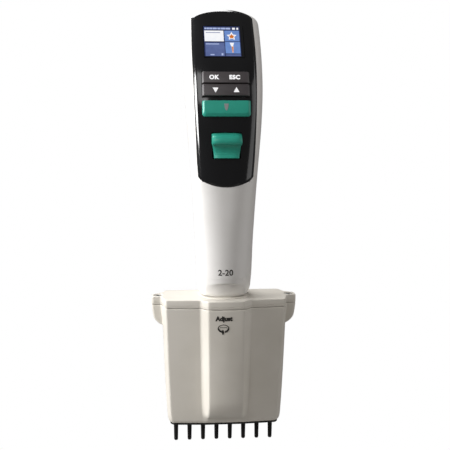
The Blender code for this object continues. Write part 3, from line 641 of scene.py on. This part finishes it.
PICTURE_FINISH = [
    lit_tile("lcd_navy", "#1C2A5A", "#16224C"),
    lit_tile("lcd_white", "#FEFEFF", "#F6F8FD"),
    lit_tile("lcd_slate", "#5B6B9D", "#526193"),
    lit_tile("lcd_sky", "#6F91D0", "#6687C6"),
    lit_tile("lcd_orange", "#DB7A28", "#CC6A1E"),
    lit_tile("lcd_lavender", "#B3C1E8", "#A6B5E0"),
    lit_tile("lcd_peach", "#F2C3A0", "#EDB68E"),
]
NAVY, WHITE, SLATE, SKY, ORANGE, LAVENDER, PEACH = range(7)
LEFT, RIGHT, BOTTOM, TOP = -12.6, 10.8, -11.9, 12.0


def screen_point(across, down, layer):
    """A point of the picture from its shares across and down the screen."""
    x = LEFT + (RIGHT - LEFT) * across
    y = TOP + (BOTTOM - TOP) * down
    return face_frame(DISPLAY_Z) @ Vector((x, y, 0.52 + 0.02 * layer))


def tile(bm, corners, layer, colour):
    face = bm.faces.new([bm.verts.new(screen_point(a, d, layer)) for a, d in corners])
    face.material_index = colour


def box_tile(bm, left, top, right, bottom, layer, colour):
    tile(bm, [(left, bottom), (right, bottom), (right, top), (left, top)], layer, colour)


def star(bm, across, down, outer, inner, layer, colour):
    """A five-pointed star, drawn as a fan of triangles round its middle."""
    points = []
    for k in range(10):
        reach = outer if k % 2 == 0 else inner
        a = pi / 2 + pi * k / 5
        points.append((across + reach * cos(a), down - reach * sin(a)))
    centre = bm.verts.new(screen_point(across, down, layer))
    ring = [bm.verts.new(screen_point(a, d, layer)) for a, d in points]
    for k in range(10):
        bm.faces.new((centre, ring[k], ring[(k + 1) % 10])).material_index = colour


picture = bmesh.new()
title = [(0.03, 0.075), (0.085, 0.16), (0.165, 0.25), (0.26, 0.37)]
title += [(0.385, 0.47), (0.48, 0.60), (0.61, 0.74)]
# left, top, right and bottom as shares of the screen, then layer and colour
boxes = [(0.0, 0.0, 1.0, 1.0, 0, NAVY)]
boxes += [(start, 0.045, end, 0.105, 1, LAVENDER) for start, end in title]
boxes += [(start, 0.045, end, 0.11, 1, WHITE) for start, end in ((0.79, 0.87), (0.91, 0.96))]
boxes += [
    (0.02, 0.145, 0.545, 0.505, 1, WHITE),
    (0.06, 0.205, 0.46, 0.225, 2, SLATE),
    (0.03, 0.55, 0.555, 0.99, 1, SLATE),
    (0.05, 0.58, 0.41, 0.61, 2, LAVENDER),
    (0.16, 0.93, 0.27, 0.965, 2, LAVENDER),
    (0.46, 0.90, 0.51, 0.97, 2, LAVENDER),
    (0.57, 0.145, 0.975, 0.50, 1, SKY),
    (0.575, 0.52, 0.98, 0.905, 1, SKY),
    (0.58, 0.93, 0.985, 0.99, 1, SLATE),
]
for box in boxes:
    box_tile(picture, *box)
star(picture, 0.765, 0.335, 0.145, 0.075, 2, WHITE)
star(picture, 0.765, 0.345, 0.085, 0.048, 3, ORANGE)
tile(picture, [(0.735, 0.67), (0.785, 0.67), (0.82, 0.55), (0.70, 0.55)], 2, WHITE)
tile(picture, [(0.76, 0.88), (0.79, 0.88), (0.80, 0.67), (0.745, 0.67)], 2, PEACH)
tile(picture, [(0.767, 0.84), (0.783, 0.84), (0.79, 0.69), (0.757, 0.69)], 3, ORANGE)
display_picture = new_piece("display_picture", picture, PICTURE_FINISH, "handle")
print("display picture:", len(display_picture.data.polygons), "tiles")

# %% [markdown]
# ## Keys
# Two rocker caps lie one above the other; each tips left or right on a dome under either end. They are
# blocks with a softened rim and a sloping facet at each end, which catches the light as a paler strip. A
# rim like that is a stack of outlines, each a little smaller and higher than the last.

# %% Rocker keys
def rounded_outline(left, right, low, high, corner, steps=4):
    """A rectangle with rounded corners, anticlockwise from upper right. corner may be (top, bottom)."""
    top, bottom = corner if isinstance(corner, tuple) else (corner, corner)
    centres = (
        (right - top, high - top, top),
        (left + top, high - top, top),
        (left + bottom, low + bottom, bottom),
        (right - bottom, low + bottom, bottom),
    )
    points = []
    for quarter, (x, y, r) in enumerate(centres):
        for k in range(steps + 1):
            a = pi / 2 * (quarter + k / steps)
            points.append((x + r * cos(a), y + r * sin(a)))
    return points


def stacked(layers, place):
    """Skins a stack of outlines given as (points, height) and closes both ends."""
    return capped_stack([[place(x, y, h) for x, y in points] for points, h in layers])


def on_face(z):
    """Places things on the face round a height: x across, y up along it, n straight out."""
    to_world = face_frame(z)
    return lambda x, y, n: to_world @ Vector((x, y, n))


KEY_WIDE, KEY_TALL = 14.9, 3.8  # half sizes
KEY_FOOT, KEY_SLOPE, KEY_TOP = -1.3, 0.75, 1.75  # where the cap begins, slopes and ends, out from the face


def key_layers():
    foot = rounded_outline(-KEY_WIDE, KEY_WIDE, -KEY_TALL, KEY_TALL, 0.5)
    layers = [(foot, KEY_FOOT), (foot, KEY_SLOPE)]
    for t, height in ((0.0, KEY_TOP - 0.42), (0.15, KEY_TOP - 0.2), (0.3, KEY_TOP - 0.06), (0.5, KEY_TOP)):
        side = KEY_WIDE - 1.0 * (height - KEY_SLOPE) / (KEY_TOP - KEY_SLOPE) - t * 0.3
        rim = rounded_outline(-side, side, -KEY_TALL + t * 0.7, KEY_TALL - t * 0.7, 0.45)
        layers.append((rim, height))
    return layers


caps = (("ok_esc_cap", "ok_esc_key", "ok_esc", KEYS_Z[0]), ("arrow_cap", "arrow_key", "arrows", KEYS_Z[1]))
for name, cad, body, z in caps:
    new_piece(name, stacked(key_layers(), on_face(z)), key_abs, body, [cad], smooth=22)
print("key caps stand", KEY_TOP - PANEL_LIFT, "mm proud of the panel")

# %% [markdown]
# ## Legends and printed marks
# Legends are pad printed: a film of ink only microns thick. Blender's own font gives the letter shapes.
# Each mark is turned into a slab 0.12 mm thick, half of it sunk, and laid on the surface point by point,
# so it follows the curve under it.

# %% Printing
INK = 0.06  # how far a mark stands out of its surface, and how deep it is sunk


def print_words(name, words, height, place, finish, body, spread=1.0, weight=0.0):
    """Prints words, their capitals height mm tall, about the middle of a place on the surface."""
    curve = bpy.data.curves.new(name, "FONT")
    curve.body = words
    curve.size = height / 0.71
    curve.align_x = "CENTER"
    curve.align_y = "CENTER"
    curve.space_character = spread
    curve.offset = weight
    curve.extrude = INK
    curve.resolution_u = 6
    drawn = bpy.data.objects.new(name, curve)
    bpy.context.collection.objects.link(drawn)
    bpy.context.view_layer.update()
    mesh = bpy.data.meshes.new_from_object(drawn.evaluated_get(bpy.context.evaluated_depsgraph_get()))
    bpy.data.objects.remove(drawn)
    for vertex in mesh.vertices:
        vertex.co = place(*vertex.co) * MM
    mesh.materials.clear()
    mesh.materials.append(finish)
    obj = bpy.data.objects.new(name, mesh)
    bpy.context.collection.objects.link(obj)
    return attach(obj, body)


def print_shape(name, outlines, place, finish, body):
    """Prints filled outlines, each a list of (x, y) in mm."""
    bm = bmesh.new()
    for points in outlines:
        rows = [[place(x, y, n) for x, y in points] for n in (-INK, INK)]
        grid_skin(bm, rows, wrap=True, cap_low=True, cap_high=True)
    return new_piece(name, bm, finish, body)


def key_place(z, across, up=0.0):
    """A spot on top of a key cap."""
    spot = face_frame(z)
    return lambda x, y, n: spot @ Vector((x + across, y + up, KEY_TOP + n))


# The white legends carry a painted glow, so they read bright in shade
for name, words, across in (("legend_ok", "OK", -7.4), ("legend_esc", "ESC", 5.6)):
    spot = key_place(KEYS_Z[0], across, -0.2)
    print_words(name, words, 2.7, spot, ink_white_painted_glow, "ok_esc", spread=1.12, weight=0.2)
arrow_down = [(-1.8, 1.4), (0, -1.9), (1.8, 1.4)]
arrow_up = [(-1.8, -1.5), (1.8, -1.5), (0, 1.8)]
print_shape("legend_down", [arrow_down], key_place(KEYS_Z[1], -6.6), ink_white_painted_glow, "arrows")
print_shape("legend_up", [arrow_up], key_place(KEYS_Z[1], 6.5), ink_white_painted_glow, "arrows")
print("legends: OK, ESC, down and up arrows")

# %% [markdown]
# ## Tip ejector bar
# A teal bar under the keys; pushing it down strips the tips. Its sides and lower edge are chamfered and
# its lower corners rounded, its upper edge is square to the panel. A small stem goes through the panel's
# slot.

# %% Ejector bar
BAR_LOW, BAR_TOP = 1.05, 3.6  # out from the face
BAR_WIDE, BAR_TALL = 15.1, 4.9  # half sizes


def bar_layers():
    """Outlines from the bar's back to its front, drawn in at the sides, the foot and the head."""
    layers = []
    for height, side, foot, head in (
        (BAR_LOW, 0.0, 0.0, 0.0),
        (BAR_TOP - 1.25, 0.0, 0.0, 0.0),
        (BAR_TOP - 1.1, 0.05, 0.05, 0.0),
        (BAR_TOP - 0.15, 1.1, 1.5, 0.05),
        (BAR_TOP - 0.03, 1.3, 1.8, 0.2),
        (BAR_TOP, 1.6, 2.1, 0.4),
    ):
        wide = BAR_WIDE - side
        outline = rounded_outline(-wide, wide, -BAR_TALL + foot, BAR_TALL - head, (0.5, 1.9), steps=6)
        layers.append((outline, height))
    return layers


bar_body = stacked(bar_layers(), on_face(BAR_Z))
bar = new_piece("ejector_bar_teal", bar_body, teal_abs, "eject_button", ["ejector_bar"], smooth=16)
cut(bar, face_block(BAR_Z, 8.0, 2.0, -6.0, BAR_LOW + 1, lift=3.2, corner=0.2), "UNION")
icon = [(-1.35, 2.2), (1.35, 2.2), (1.2, 0.4), (0.6, -1.6)]
icon += [(0.3, -2.1), (-0.3, -2.1), (-0.6, -1.6), (-1.2, 0.4)]


def icon_place(x, y, n):
    """On the bar's front, a little up and to the left."""
    return face_frame(BAR_Z) @ Vector((x - 0.2, y + 0.7, BAR_TOP + n))


print_shape("ejector_icon", [icon[::-1]], icon_place, silicone, "eject_button")
print("ejector bar", 2 * BAR_WIDE, "mm wide")

# %% [markdown]
# ## Trigger
# The trigger starts each stroke. A lip stands out over a hollow where the finger rests, and fine ribs
# across the hollow keep a glove from slipping. The lip's upper corners are well rounded and the hollow
# narrows downwards. Its skin runs down a side profile, and each row across is bowed, so the ends fall
# away softly.

# %% Trigger
def trigger_skin(profile, half_at, bow, corner):
    """Rows down a profile of (out, up), each bowed back towards its ends; half_at gives the half width."""
    shares = [sin(pi / 2 * k / 10) for k in range(-10, 11)]
    place = on_face(TRIGGER_Z)
    rows = []
    for out, up in profile:
        half = half_at(up)
        row = [place(half * s, up - corner * abs(s) ** 6, out - bow * abs(s) ** 5) for s in shares]
        rows.append(row + [place(half, up - corner, -5.0), place(-half, up - corner, -5.0)])
    return grid_skin(bmesh.new(), rows, wrap=True, cap_low=True, cap_high=True)


RIB_PITCH = 1.05
lip_profile = [(-3.0, 7.5), (0.0, 7.7), (1.2, 7.75), (1.7, 7.6), (2.9, 7.25), (4.2, 6.75), (5.4, 5.95)]
lip_profile += [(6.3, 5.0), (6.85, 4.0), (7.15, 3.0), (7.2, 2.2), (7.05, 1.5), (6.7, 1.0), (6.1, 0.7)]
lip_profile += [(5.2, 0.45), (3.8, 0.2), (0.0, 0.0)]
hollow_profile = [(3.6, 0.45)]
for k in range(45):
    up = 0.3 - 8.0 * k / 44
    rise, run = (1.5, 4.2) if up > -4.1 else (0.85, 3.7)
    curve = 2.0 + rise * ((up + 4.1) / run) ** 2
    rib = 0.09 * max(0.0, cos(2 * pi * up / RIB_PITCH)) if -6.9 < up < -0.6 else 0.0
    hollow_profile.append((curve + rib, up))
hollow_profile += [(2.5, -7.85), (1.8, -8.0), (-3.0, -8.0)]


def lip_half(up):
    return 9.3 - 0.4 * smoothstep(2.2, 0.0, up)


def hollow_half(up):
    return 8.7 - 0.9 * smoothstep(0.0, -8.0, up)


lip = trigger_skin(lip_profile[::-1], lip_half, 1.0, 0.5)
hollow = trigger_skin(hollow_profile[::-1], hollow_half, 0.7, 0.0)
new_piece("trigger_lip", lip, teal_abs, "trigger_piece", ["trigger"], smooth=30)
new_piece("trigger_hollow", hollow, teal_abs, "trigger_piece", smooth=30)
print("trigger: ribs", RIB_PITCH, "mm apart")

# %% [markdown]
# ## The manifold's plan
# Lid and housing share one plan: a wide body with a bulge at the front for the drive, an ear on each side
# for a screw, and a rounder back. The plan changes with height, so it is a function. Its corners are then
# rounded by sliding a short curve into each, which keeps the long walls truly flat, as a mould maker
# would cut them.

# %% Plan of lid and housing
HOUSING_Z = (1.3, 79.5)


def eased(value, places, sizes):
    """Smooth curve through a few (place, size) pairs."""
    i = int(np.clip(np.searchsorted(places, value) - 1, 0, len(places) - 2))
    slopes = np.gradient(sizes, places)
    for k in range(1, len(places) - 1):
        before = (sizes[k] - sizes[k - 1]) / (places[k] - places[k - 1])
        after = (sizes[k + 1] - sizes[k]) / (places[k + 1] - places[k])
        slopes[k] = 0.0 if before * after <= 0 else 2 * before * after / (before + after)
    span = places[i + 1] - places[i]
    t = min(max((value - places[i]) / span, 0.0), 1.0)
    rise = (2 * t**3 - 3 * t**2 + 1) * sizes[i] + (3 * t**2 - 2 * t**3) * sizes[i + 1]
    return rise + ((t**3 - 2 * t**2 + t) * slopes[i] + (t**3 - t**2) * slopes[i + 1]) * span


def fronts(z):
    """Where wings and bulge end in front at a height, and how far the bulge has swelled from its nose."""
    wing_y = np.interp(z, (1.3, 3.2, 79.5), (-10.6, -11.2, -16.4))
    fade = eased(z, (1.3, 4.5, 7, 11, 18, 79.5), (0.0, 0.05, 0.42, 0.75, 0.97, 1.0))
    return wing_y, wing_y - 1.6 - (10.3 - 4.9 * z / HOUSING_Z[1]) * fade, fade


def plan_corners(z):
    """The plan's right half at a height: corners from front to rear middle, each with its radius."""
    share = z / HOUSING_Z[1]
    side = eased(z, (1.3, 3.2, 6, 79.5), (35.6, 36.7, 37.2, 40.4))
    wing_x = side - 2.4
    wing_y, bulge_y, fade = fronts(z)
    back_y = 11.8 + 2.6 * share
    depth = wing_y - 1.6 - bulge_y
    tip = eased(z, (65.5, 67.5, 71, 76, 79.5), (side, 43.2, 45.9, 46.8, 47.2))
    front_x = 10.7 + 0.6 * share
    base_x = 12.2 + (0.6 + 1.9 * share) * fade
    rear_r = 17.6 - 5.3 * np.interp(z, (1.8, 7, 18), (1.0, 0.4, 0.0))
    start = np.arccos(min(back_y / rear_r, 1.0))
    corners = [
        (0, bulge_y, 8.0),
        (front_x * 0.6, bulge_y + 0.35 * fade, 4.0),
        (front_x + 0.3, bulge_y + 0.12 * depth, 0.9),
        (base_x, wing_y - 1.6 - 0.25 * depth, 1.0),
        (base_x + 1.0, wing_y - 1.5 - 0.08 * depth, 0.7),
        (base_x + 2.0, wing_y - 1.35, 0.6),
        (wing_x + 0.5, wing_y + 0.2, 1.2),
        (side, -7.5, 1.2),
        (side, -6.0, 0.9),
        (max(side, tip - 5.8), -4.7, 0.8),
        (tip - min(0.9, tip - side), -4.4, 0.8),
        (tip, -3.5, 0.8),
        (tip, 2.2, 0.8),
        (tip - min(0.7, tip - side), 3.4, 0.8),
        (side, 7.4, 1.2),
        (wing_x, back_y - 0.7, 1.5),
        (wing_x - 1.4, back_y - 0.1, 1.5),
    ]
    turns = [start * k / 5 for k in (5, 4, 3, 2, 1, 0)]
    return corners + [(rear_r * sin(turn), rear_r * cos(turn), 2.0) for turn in turns]


def whole_plan(z, steps=4):
    """The plan mirrored to the left and its corners rounded, counterclockwise from above."""
    right = plan_corners(z)
    loop = right + [(-x, y, r) for x, y, r in right[-2:0:-1]]
    points = []
    for i, (x, y, radius) in enumerate(loop):
        here, before = Vector((x, y)), Vector(loop[i - 1][:2])
        after = Vector(loop[(i + 1) % len(loop)][:2])
        reach = min(radius, 0.48 * (before - here).length, 0.48 * (after - here).length)
        start = here + (before - here).normalized() * reach
        end = here + (after - here).normalized() * reach
        for k in range(steps + 1):
            t = k / steps
            points.append(start * (1 - t) ** 2 + here * 2 * t * (1 - t) + end * t * t)
    return points


def moved_in(points, distance):
    """Moves a plan's points inward by the same distance."""
    count = len(points)
    result = []
    for i, here in enumerate(points):
        along = points[(i + 2) % count] - points[i - 2]
        result.append(here + Vector((-along.y, along.x)).normalized() * distance)
    return result


def plan_rows(levels):
    """Rows of points from (height, inset) pairs, with the ears where they belong."""
    rows = []
    for z, inset in levels:
        shape = whole_plan(min(z, HOUSING_Z[1]))
        rows.append([(p.x, p.y, z) for p in (moved_in(shape, inset) if inset else shape)])
    return rows


print("plan at the top is", round(2 * max(p.x for p in whole_plan(79.5)), 1), "mm wide")

# %% [markdown]
# ## Housing and lid
# The housing hides the pistons. Its walls draft inward downwards so that it leaves the mould, and its
# bulge runs out in a rounded nose above the tips. The lid closes it, and a fine groove runs round the lid
# above its lower edge. Both get rolled rims, made of rows that turn inward over half a millimetre. The
# lid is drawn as a ring: its level faces run straight from the rim to the bore, where the swivel seat
# stands.

# %% Housing and lid
heights = [2.6, 3.2, 3.8, 4.5, 5.2, 6, 7, 8, 9, 10, 11.5, 13, 15, 18, 22, 28, 36, 46, 56, 62]
heights += [65.0, 65.5, 66, 66.5, 67, 67.5, 68.2, 69, 70, 71, 72.5, 74, 76, 77.5, 78.9]
levels = [(1.3, 3.0), (1.3, 0.45), (1.4, 0.2), (1.6, 0.06), (1.9, 0.0)] + [(z, 0.0) for z in heights]
levels += [(79.2, 0.03), (79.38, 0.12), (79.5, 0.3), (79.5, 1.4)]
walls = grid_skin(bmesh.new(), plan_rows(levels), wrap=True)
housing = new_piece("manifold_housing_skin", walls, ivory_abs, "manifold", ["manifold_housing"], smooth=40)

rim = [(79.8, 0.3), (79.9, 0.1), (80.1, 0.0), (81.2, 0.0), (81.27, 0.22), (81.43, 0.22), (81.5, 0.0)]
rim += [(84.3, 0.0), (84.6, 0.05), (84.82, 0.16), (84.95, 0.3), (85.0, 0.48)]
BORE = 9.95


def towards_bore(row, share):
    """Slides a level row of the plan straight towards the bore's edge by a share of the way."""
    result = []
    for x, y, z in row:
        end = BORE / hypot(x, y)
        result.append((x + x * (end - 1) * share, y + y * (end - 1) * share, z))
    return result


lid_rows = plan_rows(rim)
under, over = lid_rows[0], lid_rows[-1]
lid_rows = [towards_bore(under, 1), towards_bore(under, 0.03), *lid_rows]
lid_rows += [towards_bore(over, 0.03), towards_bore(over, 1)]
lid_mesh = grid_skin(bmesh.new(), lid_rows + lid_rows[:1], wrap=True)
bmesh.ops.remove_doubles(lid_mesh, verts=lid_mesh.verts, dist=0.001)
lid = new_piece("manifold_lid_skin", lid_mesh, ivory_abs, "manifold", ["manifold_lid"], smooth=40)


def lathe(bm, profile, centre=(0.0, 0.0), segments=48, capped=True):
    """Turns a profile of (radius, height) about an upright axis. A closed profile needs no caps."""
    turns = [2 * pi * k / segments for k in range(segments)]
    rows = [[(centre[0] + r * cos(a), centre[1] + r * sin(a), z) for a in turns] for r, z in profile]
    grid_skin(bm, rows, wrap=True, cap_low=capped, cap_high=capped)
    if not capped:
        bmesh.ops.remove_doubles(bm, verts=bm.verts, dist=0.001)
    return bm


EAR_X = 42.7
for x in (-EAR_X, EAR_X):
    cut(lid, lathe(bmesh.new(), [(2.95, 82.9), (2.95, 84.7), (3.25, 85.0), (3.25, 87.0)], (x, 0.0), 36))
seat_profile = [(BORE, 84.0), (16.6, 84.0), (16.6, 85.25), (16.45, 85.45), (16.2, 85.55), (12.9, 85.55)]
seat_profile += [(12.6, 85.9), (12.6, 96.6), (12.2, 97.0), (BORE, 97.0), (BORE, 84.0)]
seat_mesh = lathe(bmesh.new(), seat_profile, segments=96, capped=False)
new_piece("swivel_seat", seat_mesh, ivory_abs, "manifold", smooth=30)
print("housing:", len(housing.data.polygons), "faces; lid:", len(lid.data.polygons))

# %% [markdown]
# ## Screws
# Each ear takes a screw from above, and two more enter the rear shell side by side. They are turned
# blanks with a softened rim round the head, and a six-sided key fits the socket, so the socket is cut
# with a six-sided tool.

# %% Screws
def socket_screw(cad, body, place, radius, reach):
    """A screw whose head's top is at the place; it reaches back along the place's own z."""
    profile = [(0.01, -reach), (radius * 0.5, -reach), (radius * 0.5, -1.6), (radius, -1.6), (radius, -0.35)]
    profile += [(radius - 0.12, -0.12), (radius - 0.4, 0.0), (0.01, 0.0)]
    bm = lathe(bmesh.new(), profile, segments=36)
    tool = lathe(bmesh.new(), [(radius * 0.52, -1.1), (radius * 0.52, 1.0)], segments=6)
    for each in (bm, tool):
        bmesh.ops.transform(each, matrix=place, verts=each.verts)
    cut(new_piece(f"{cad}_turned", bm, zinc_steel, body, [cad], smooth=30), tool)


for side, x in (("left", -EAR_X), ("right", EAR_X)):
    socket_screw(f"ear_screw_{side}", "manifold", Matrix.Translation((x, 0, 84.5)), 2.4, 12.0)
for side, x in (("left", -7.5), ("right", 7.5)):
    place = Matrix.Translation((x, 15.8, 150.3)) @ Matrix.Rotation(-pi / 2, 4, "X")
    socket_screw(f"rear_screw_{side}", "handle", place, 2.7, 10.0)
print("screws: two in the ears, two at the back")

# %% [markdown]
# ## Tip cones
# Disposable tips are pushed onto these cones, so they taper slightly and end in a lead-in chamfer. A soft
# grey collar sits round each one where it passes through the ejector plate. Eight of them stand 9 mm
# apart, the pitch of a 96-well plate.

# %% Cones and ejector plate
PITCH = 9.0
cone_profile = [(0.5, 7.6), (2.45, 7.6), (2.45, 5.5), (1.6, 4.3), (1.58, 0.0), (1.55, -1.0), (1.43, -6.5)]
cone_profile += [(1.32, -12.6), (1.35, -12.9), (1.31, -13.2), (1.08, -13.85), (0.95, -14.0), (0.55, -14.0)]
cone_profile += [(0.5, -13.8)]
collar_profile = [(1.3, 1.2), (1.92, 1.2), (1.92, -0.55), (1.8, -0.8), (1.6, -0.9), (1.3, -0.9)]
for k in range(8):
    x = PITCH * (k - 3.5)
    cone = lathe(bmesh.new(), cone_profile[::-1], (x, 0.0), 32)
    new_piece(f"tip_cone_{k + 1}_turned", cone, black_pvdf, "manifold", [f"tip_cone_{k + 1}"], smooth=28)
    collar = lathe(bmesh.new(), collar_profile[::-1], (x, 0.0), 32)
    new_piece(f"cone_collar_{k + 1}", collar, silicone, "manifold")
plate_levels = [(0.0, 0.6), (0.06, 0.36), (0.2, 0.22), (0.8, 0.22), (0.94, 0.36), (1.0, 0.6)]
plate_rows = [[(p.x, p.y, z) for p in moved_in(whole_plan(1.3), inset)] for z, inset in plate_levels]
plate_body = capped_stack(plate_rows)
plate = new_piece("ejector_plate_moulded", plate_body, black_abs, "stripper", ["ejector_plate"])
for k in range(8):
    cut(plate, lathe(bmesh.new(), [(2.05, -1.0), (2.05, 3.0)], (PITCH * (k - 3.5), 0.0), 32))
print("eight cones over", PITCH * 7, "mm")

# %% [markdown]
# ## Printed marks on the pale mouldings
# The volume range is printed low on the handle. On the bulge a small word and a turning sign stand for
# the adjustment of the volume. All are laid on their curved surfaces.

# %% Marks on handle and manifold
def on_handle(height, across):
    """Places a mark on the handle's front, following its curve."""
    return lambda x, y, n: behind_face(height + y, x + across, face_drop(height + y, x + across) - n)


def on_bulge(across, height):
    """Places a mark on the manifold's bulge, whose front is slightly bowed."""

    def place(x, y, n):
        bow = 0.35 * min(abs(x + across) / 7.2, 1.0) ** 1.6
        return Vector((x + across, fronts(height + y)[1] + bow - n, height + y))

    return place


print_words(
    "volume_range", "2-20", 3.7, on_handle(102.6, -0.4), ink_charcoal, "handle", spread=1.03, weight=0.1
)
print_words("adjust_word", "Adjust", 2.85, on_bulge(-1.75, 74.0), ink_charcoal, "manifold", weight=0.2)


def arc_band(radius, start, end, width, steps=14):
    """A band along an arc, flattened as if seen from above at a slant, as one outline."""
    sweep = [radians(start + (end - start) * k / steps) for k in range(steps + 1)]
    radii = (radius + width / 2, radius - width / 2)
    outer, inner = [[(r * cos(a), 0.72 * r * sin(a)) for a in sweep] for r in radii]
    return outer + inner[::-1]


dial = [arc_band(3.45, -52, 272, 0.55), [(-2.3, 0.45), (2.3, 0.45), (2.3, 0.8), (-2.3, 0.8)]]
dial += [[(-3.5, -0.4), (-2.6, -2.1), (-0.6, -2.9), (-0.6, -1.5), (-2.2, -1.0), (-2.9, 0.3)][::-1]]
dial += [[(3.5, -0.4), (2.9, 0.3), (2.2, -1.0), (1.0, -1.45), (1.0, -2.75), (2.6, -2.1)][::-1]]
dial += [[(-0.35, -0.5), (0.5, -2.2), (0.0, -3.9), (-0.7, -3.9), (-1.2, -2.2)][::-1]]
print_shape("dial_sign", dial, on_bulge(-2.1, 67.7), ink_charcoal, "manifold")
print("marks: 2-20, Adjust and a dial sign")

# %% [markdown]
# ## Finger rest
# Behind the handle a hooked rest hangs the instrument on the index finger. It is a swept bar whose
# section is a rounded rectangle: the sweep follows the hook's side view, thick at its root and fading to
# a rounded tip.

# %% Finger rest
# y, height, thickness and width along the hook, from its root to its tip
rest_spine = [(13.5, 214.6, 24.0, 24.0), (15.5, 214.3, 20.0, 21.0), (17.5, 213.6, 17.0, 18.6)]
rest_spine += [(20.5, 212.2, 14.6, 16.8), (24.0, 210.4, 12.4, 15.8), (27.5, 208.2, 9.8, 15.0)]
rest_spine += [(30.2, 206.5, 7.2, 13.8), (31.9, 205.5, 4.8, 11.6), (32.7, 205.0, 2.6, 8.0)]
rest_spine += [(33.0, 204.8, 0.8, 4.0)]


def rest_rows():
    rows = []
    spine = np.array(rest_spine)
    for t in np.linspace(0, len(spine) - 1, 46):
        i = min(int(t), len(spine) - 2)
        y, z, tall, wide = spine[i] + (spine[i + 1] - spine[i]) * (t - i)
        ring = []
        for k in range(48):
            a = 2 * pi * k / 48
            across = wide / 2 * np.sign(cos(a)) * abs(cos(a)) ** 0.62
            up = tall / 2 * np.sign(sin(a)) * abs(sin(a)) ** 0.72
            ring.append((across, y + 0.5 * up, z + 0.87 * up))
        rows.append(ring)
    return rows


rest = new_piece("finger_rest", capped_stack(rest_rows()), white_abs, "handle", smooth=60)
print("finger rest reaches", round(max(v.co.y for v in rest.data.vertices) / MM, 1), "mm behind the axis")

# %% [markdown]
# ## Floor, light and surroundings
# The instrument is shown free in the air, with a plain pale sheet on the floor far below. A strong soft
# light grazes it from the left, so its left flanks turn white and every edge shows. One behind and above
# lights the lid, a weak one in front opens the shadows, and a wide one at the right lifts that side. The
# surroundings are white where they are seen directly, but they light the object only gently, so its form
# stays readable.

# %% Studio
def floor_finish():
    mat, tree, place = blank_material("studio_floor_paper")
    fibre = node(tree, "ShaderNodeTexNoise", Vector=place, Scale=per_mm(40), Detail=2.0)
    colour = ramp(tree, fibre.outputs["Fac"], [(0.3, linear("#DCDCDA")), (0.7, linear("#E4E4E2"))])
    surface(tree, Base_Color=colour, Roughness=0.9, Specular_IOR_Level=0.1)
    return mat


floor_mesh = bpy.data.meshes.new("studio_floor")
FLOOR_HALF, FLOOR_Z = 1.3, -1.5  # metres
corners = [(x * FLOOR_HALF, y * FLOOR_HALF, FLOOR_Z) for x, y in ((-1, -1), (1, -1), (1, 1), (-1, 1))]
floor_mesh.from_pydata(corners, [], [(0, 1, 2, 3)])
floor_mesh.materials.append(floor_finish())
floor = bpy.data.objects.new("studio_floor", floor_mesh)
bpy.context.collection.objects.link(floor)
floor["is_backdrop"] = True


def area_light(name, place, height, size, power):
    """A soft rectangle of light turned to a height on the instrument's axis. Metres and watts."""
    lamp = bpy.data.lights.new(name, "AREA")
    lamp.shape = "RECTANGLE"
    lamp.size, lamp.size_y = size
    lamp.energy = power
    obj = bpy.data.objects.new(name, lamp)
    bpy.context.collection.objects.link(obj)
    obj.location = place
    obj.rotation_euler = (Vector((0, 0, height)) - Vector(place)).to_track_quat("-Z", "Y").to_euler()


area_light("key_left", (-1.32, -0.2, 0.5), 0.14, (0.45, 0.9), 26.0)
area_light("top_soft", (-0.35, 0.6, 1.3), 0.12, (1.0, 0.7), 17.0)
area_light("fill_front", (-0.55, -1.0, 1.05), 0.14, (0.7, 0.7), 3.7)
area_light("rim_right", (1.1, -0.3, 0.4), 0.16, (1.0, 1.2), 3.6)

world = bpy.data.worlds.new("studio")
bpy.context.scene.world = world
world.use_nodes = True
sky = world.node_tree
sky.nodes.clear()
path = node(sky, "ShaderNodeLightPath")


def mixed(kind, usual, special):
    """Shows one background to a kind of ray, and the usual one to all others."""
    made = node(sky, "ShaderNodeMixShader", Fac=path.outputs[kind])
    sky.links.new(usual.outputs[0], made.inputs[1])
    sky.links.new(special.outputs[0], made.inputs[2])
    return made


lighting = node(sky, "ShaderNodeBackground", Color=(1.0, 0.93, 0.86, 1), Strength=0.13)
mirrored = node(sky, "ShaderNodeBackground", Color=(1, 1, 1, 1), Strength=0.1)
seen = node(sky, "ShaderNodeBackground", Color=(1, 1, 1, 1), Strength=1.0)
both = mixed("Is Camera Ray", mixed("Is Glossy Ray", lighting, mirrored), seen)
node(sky, "ShaderNodeOutputWorld", Surface=both.outputs[0])

# %% [markdown]
# ## Sizes
# The finished look is measured against the engineering model's box; how far it grows past each side is
# printed. The finished look has to stay inside the engineering model's box.

# %% Compare the boxes and finish
seen_low, seen_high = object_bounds()
boxes = {"cad": [list(cad_low), list(cad_high)], "visual": [list(seen_low), list(seen_high)]}
grown_low = [round((a - b) / MM, 2) for a, b in zip(cad_low, seen_low)]
grown_high = [round((b - a) / MM, 2) for a, b in zip(cad_high, seen_high)]
print("grown by, mm:", grown_low, grown_high)
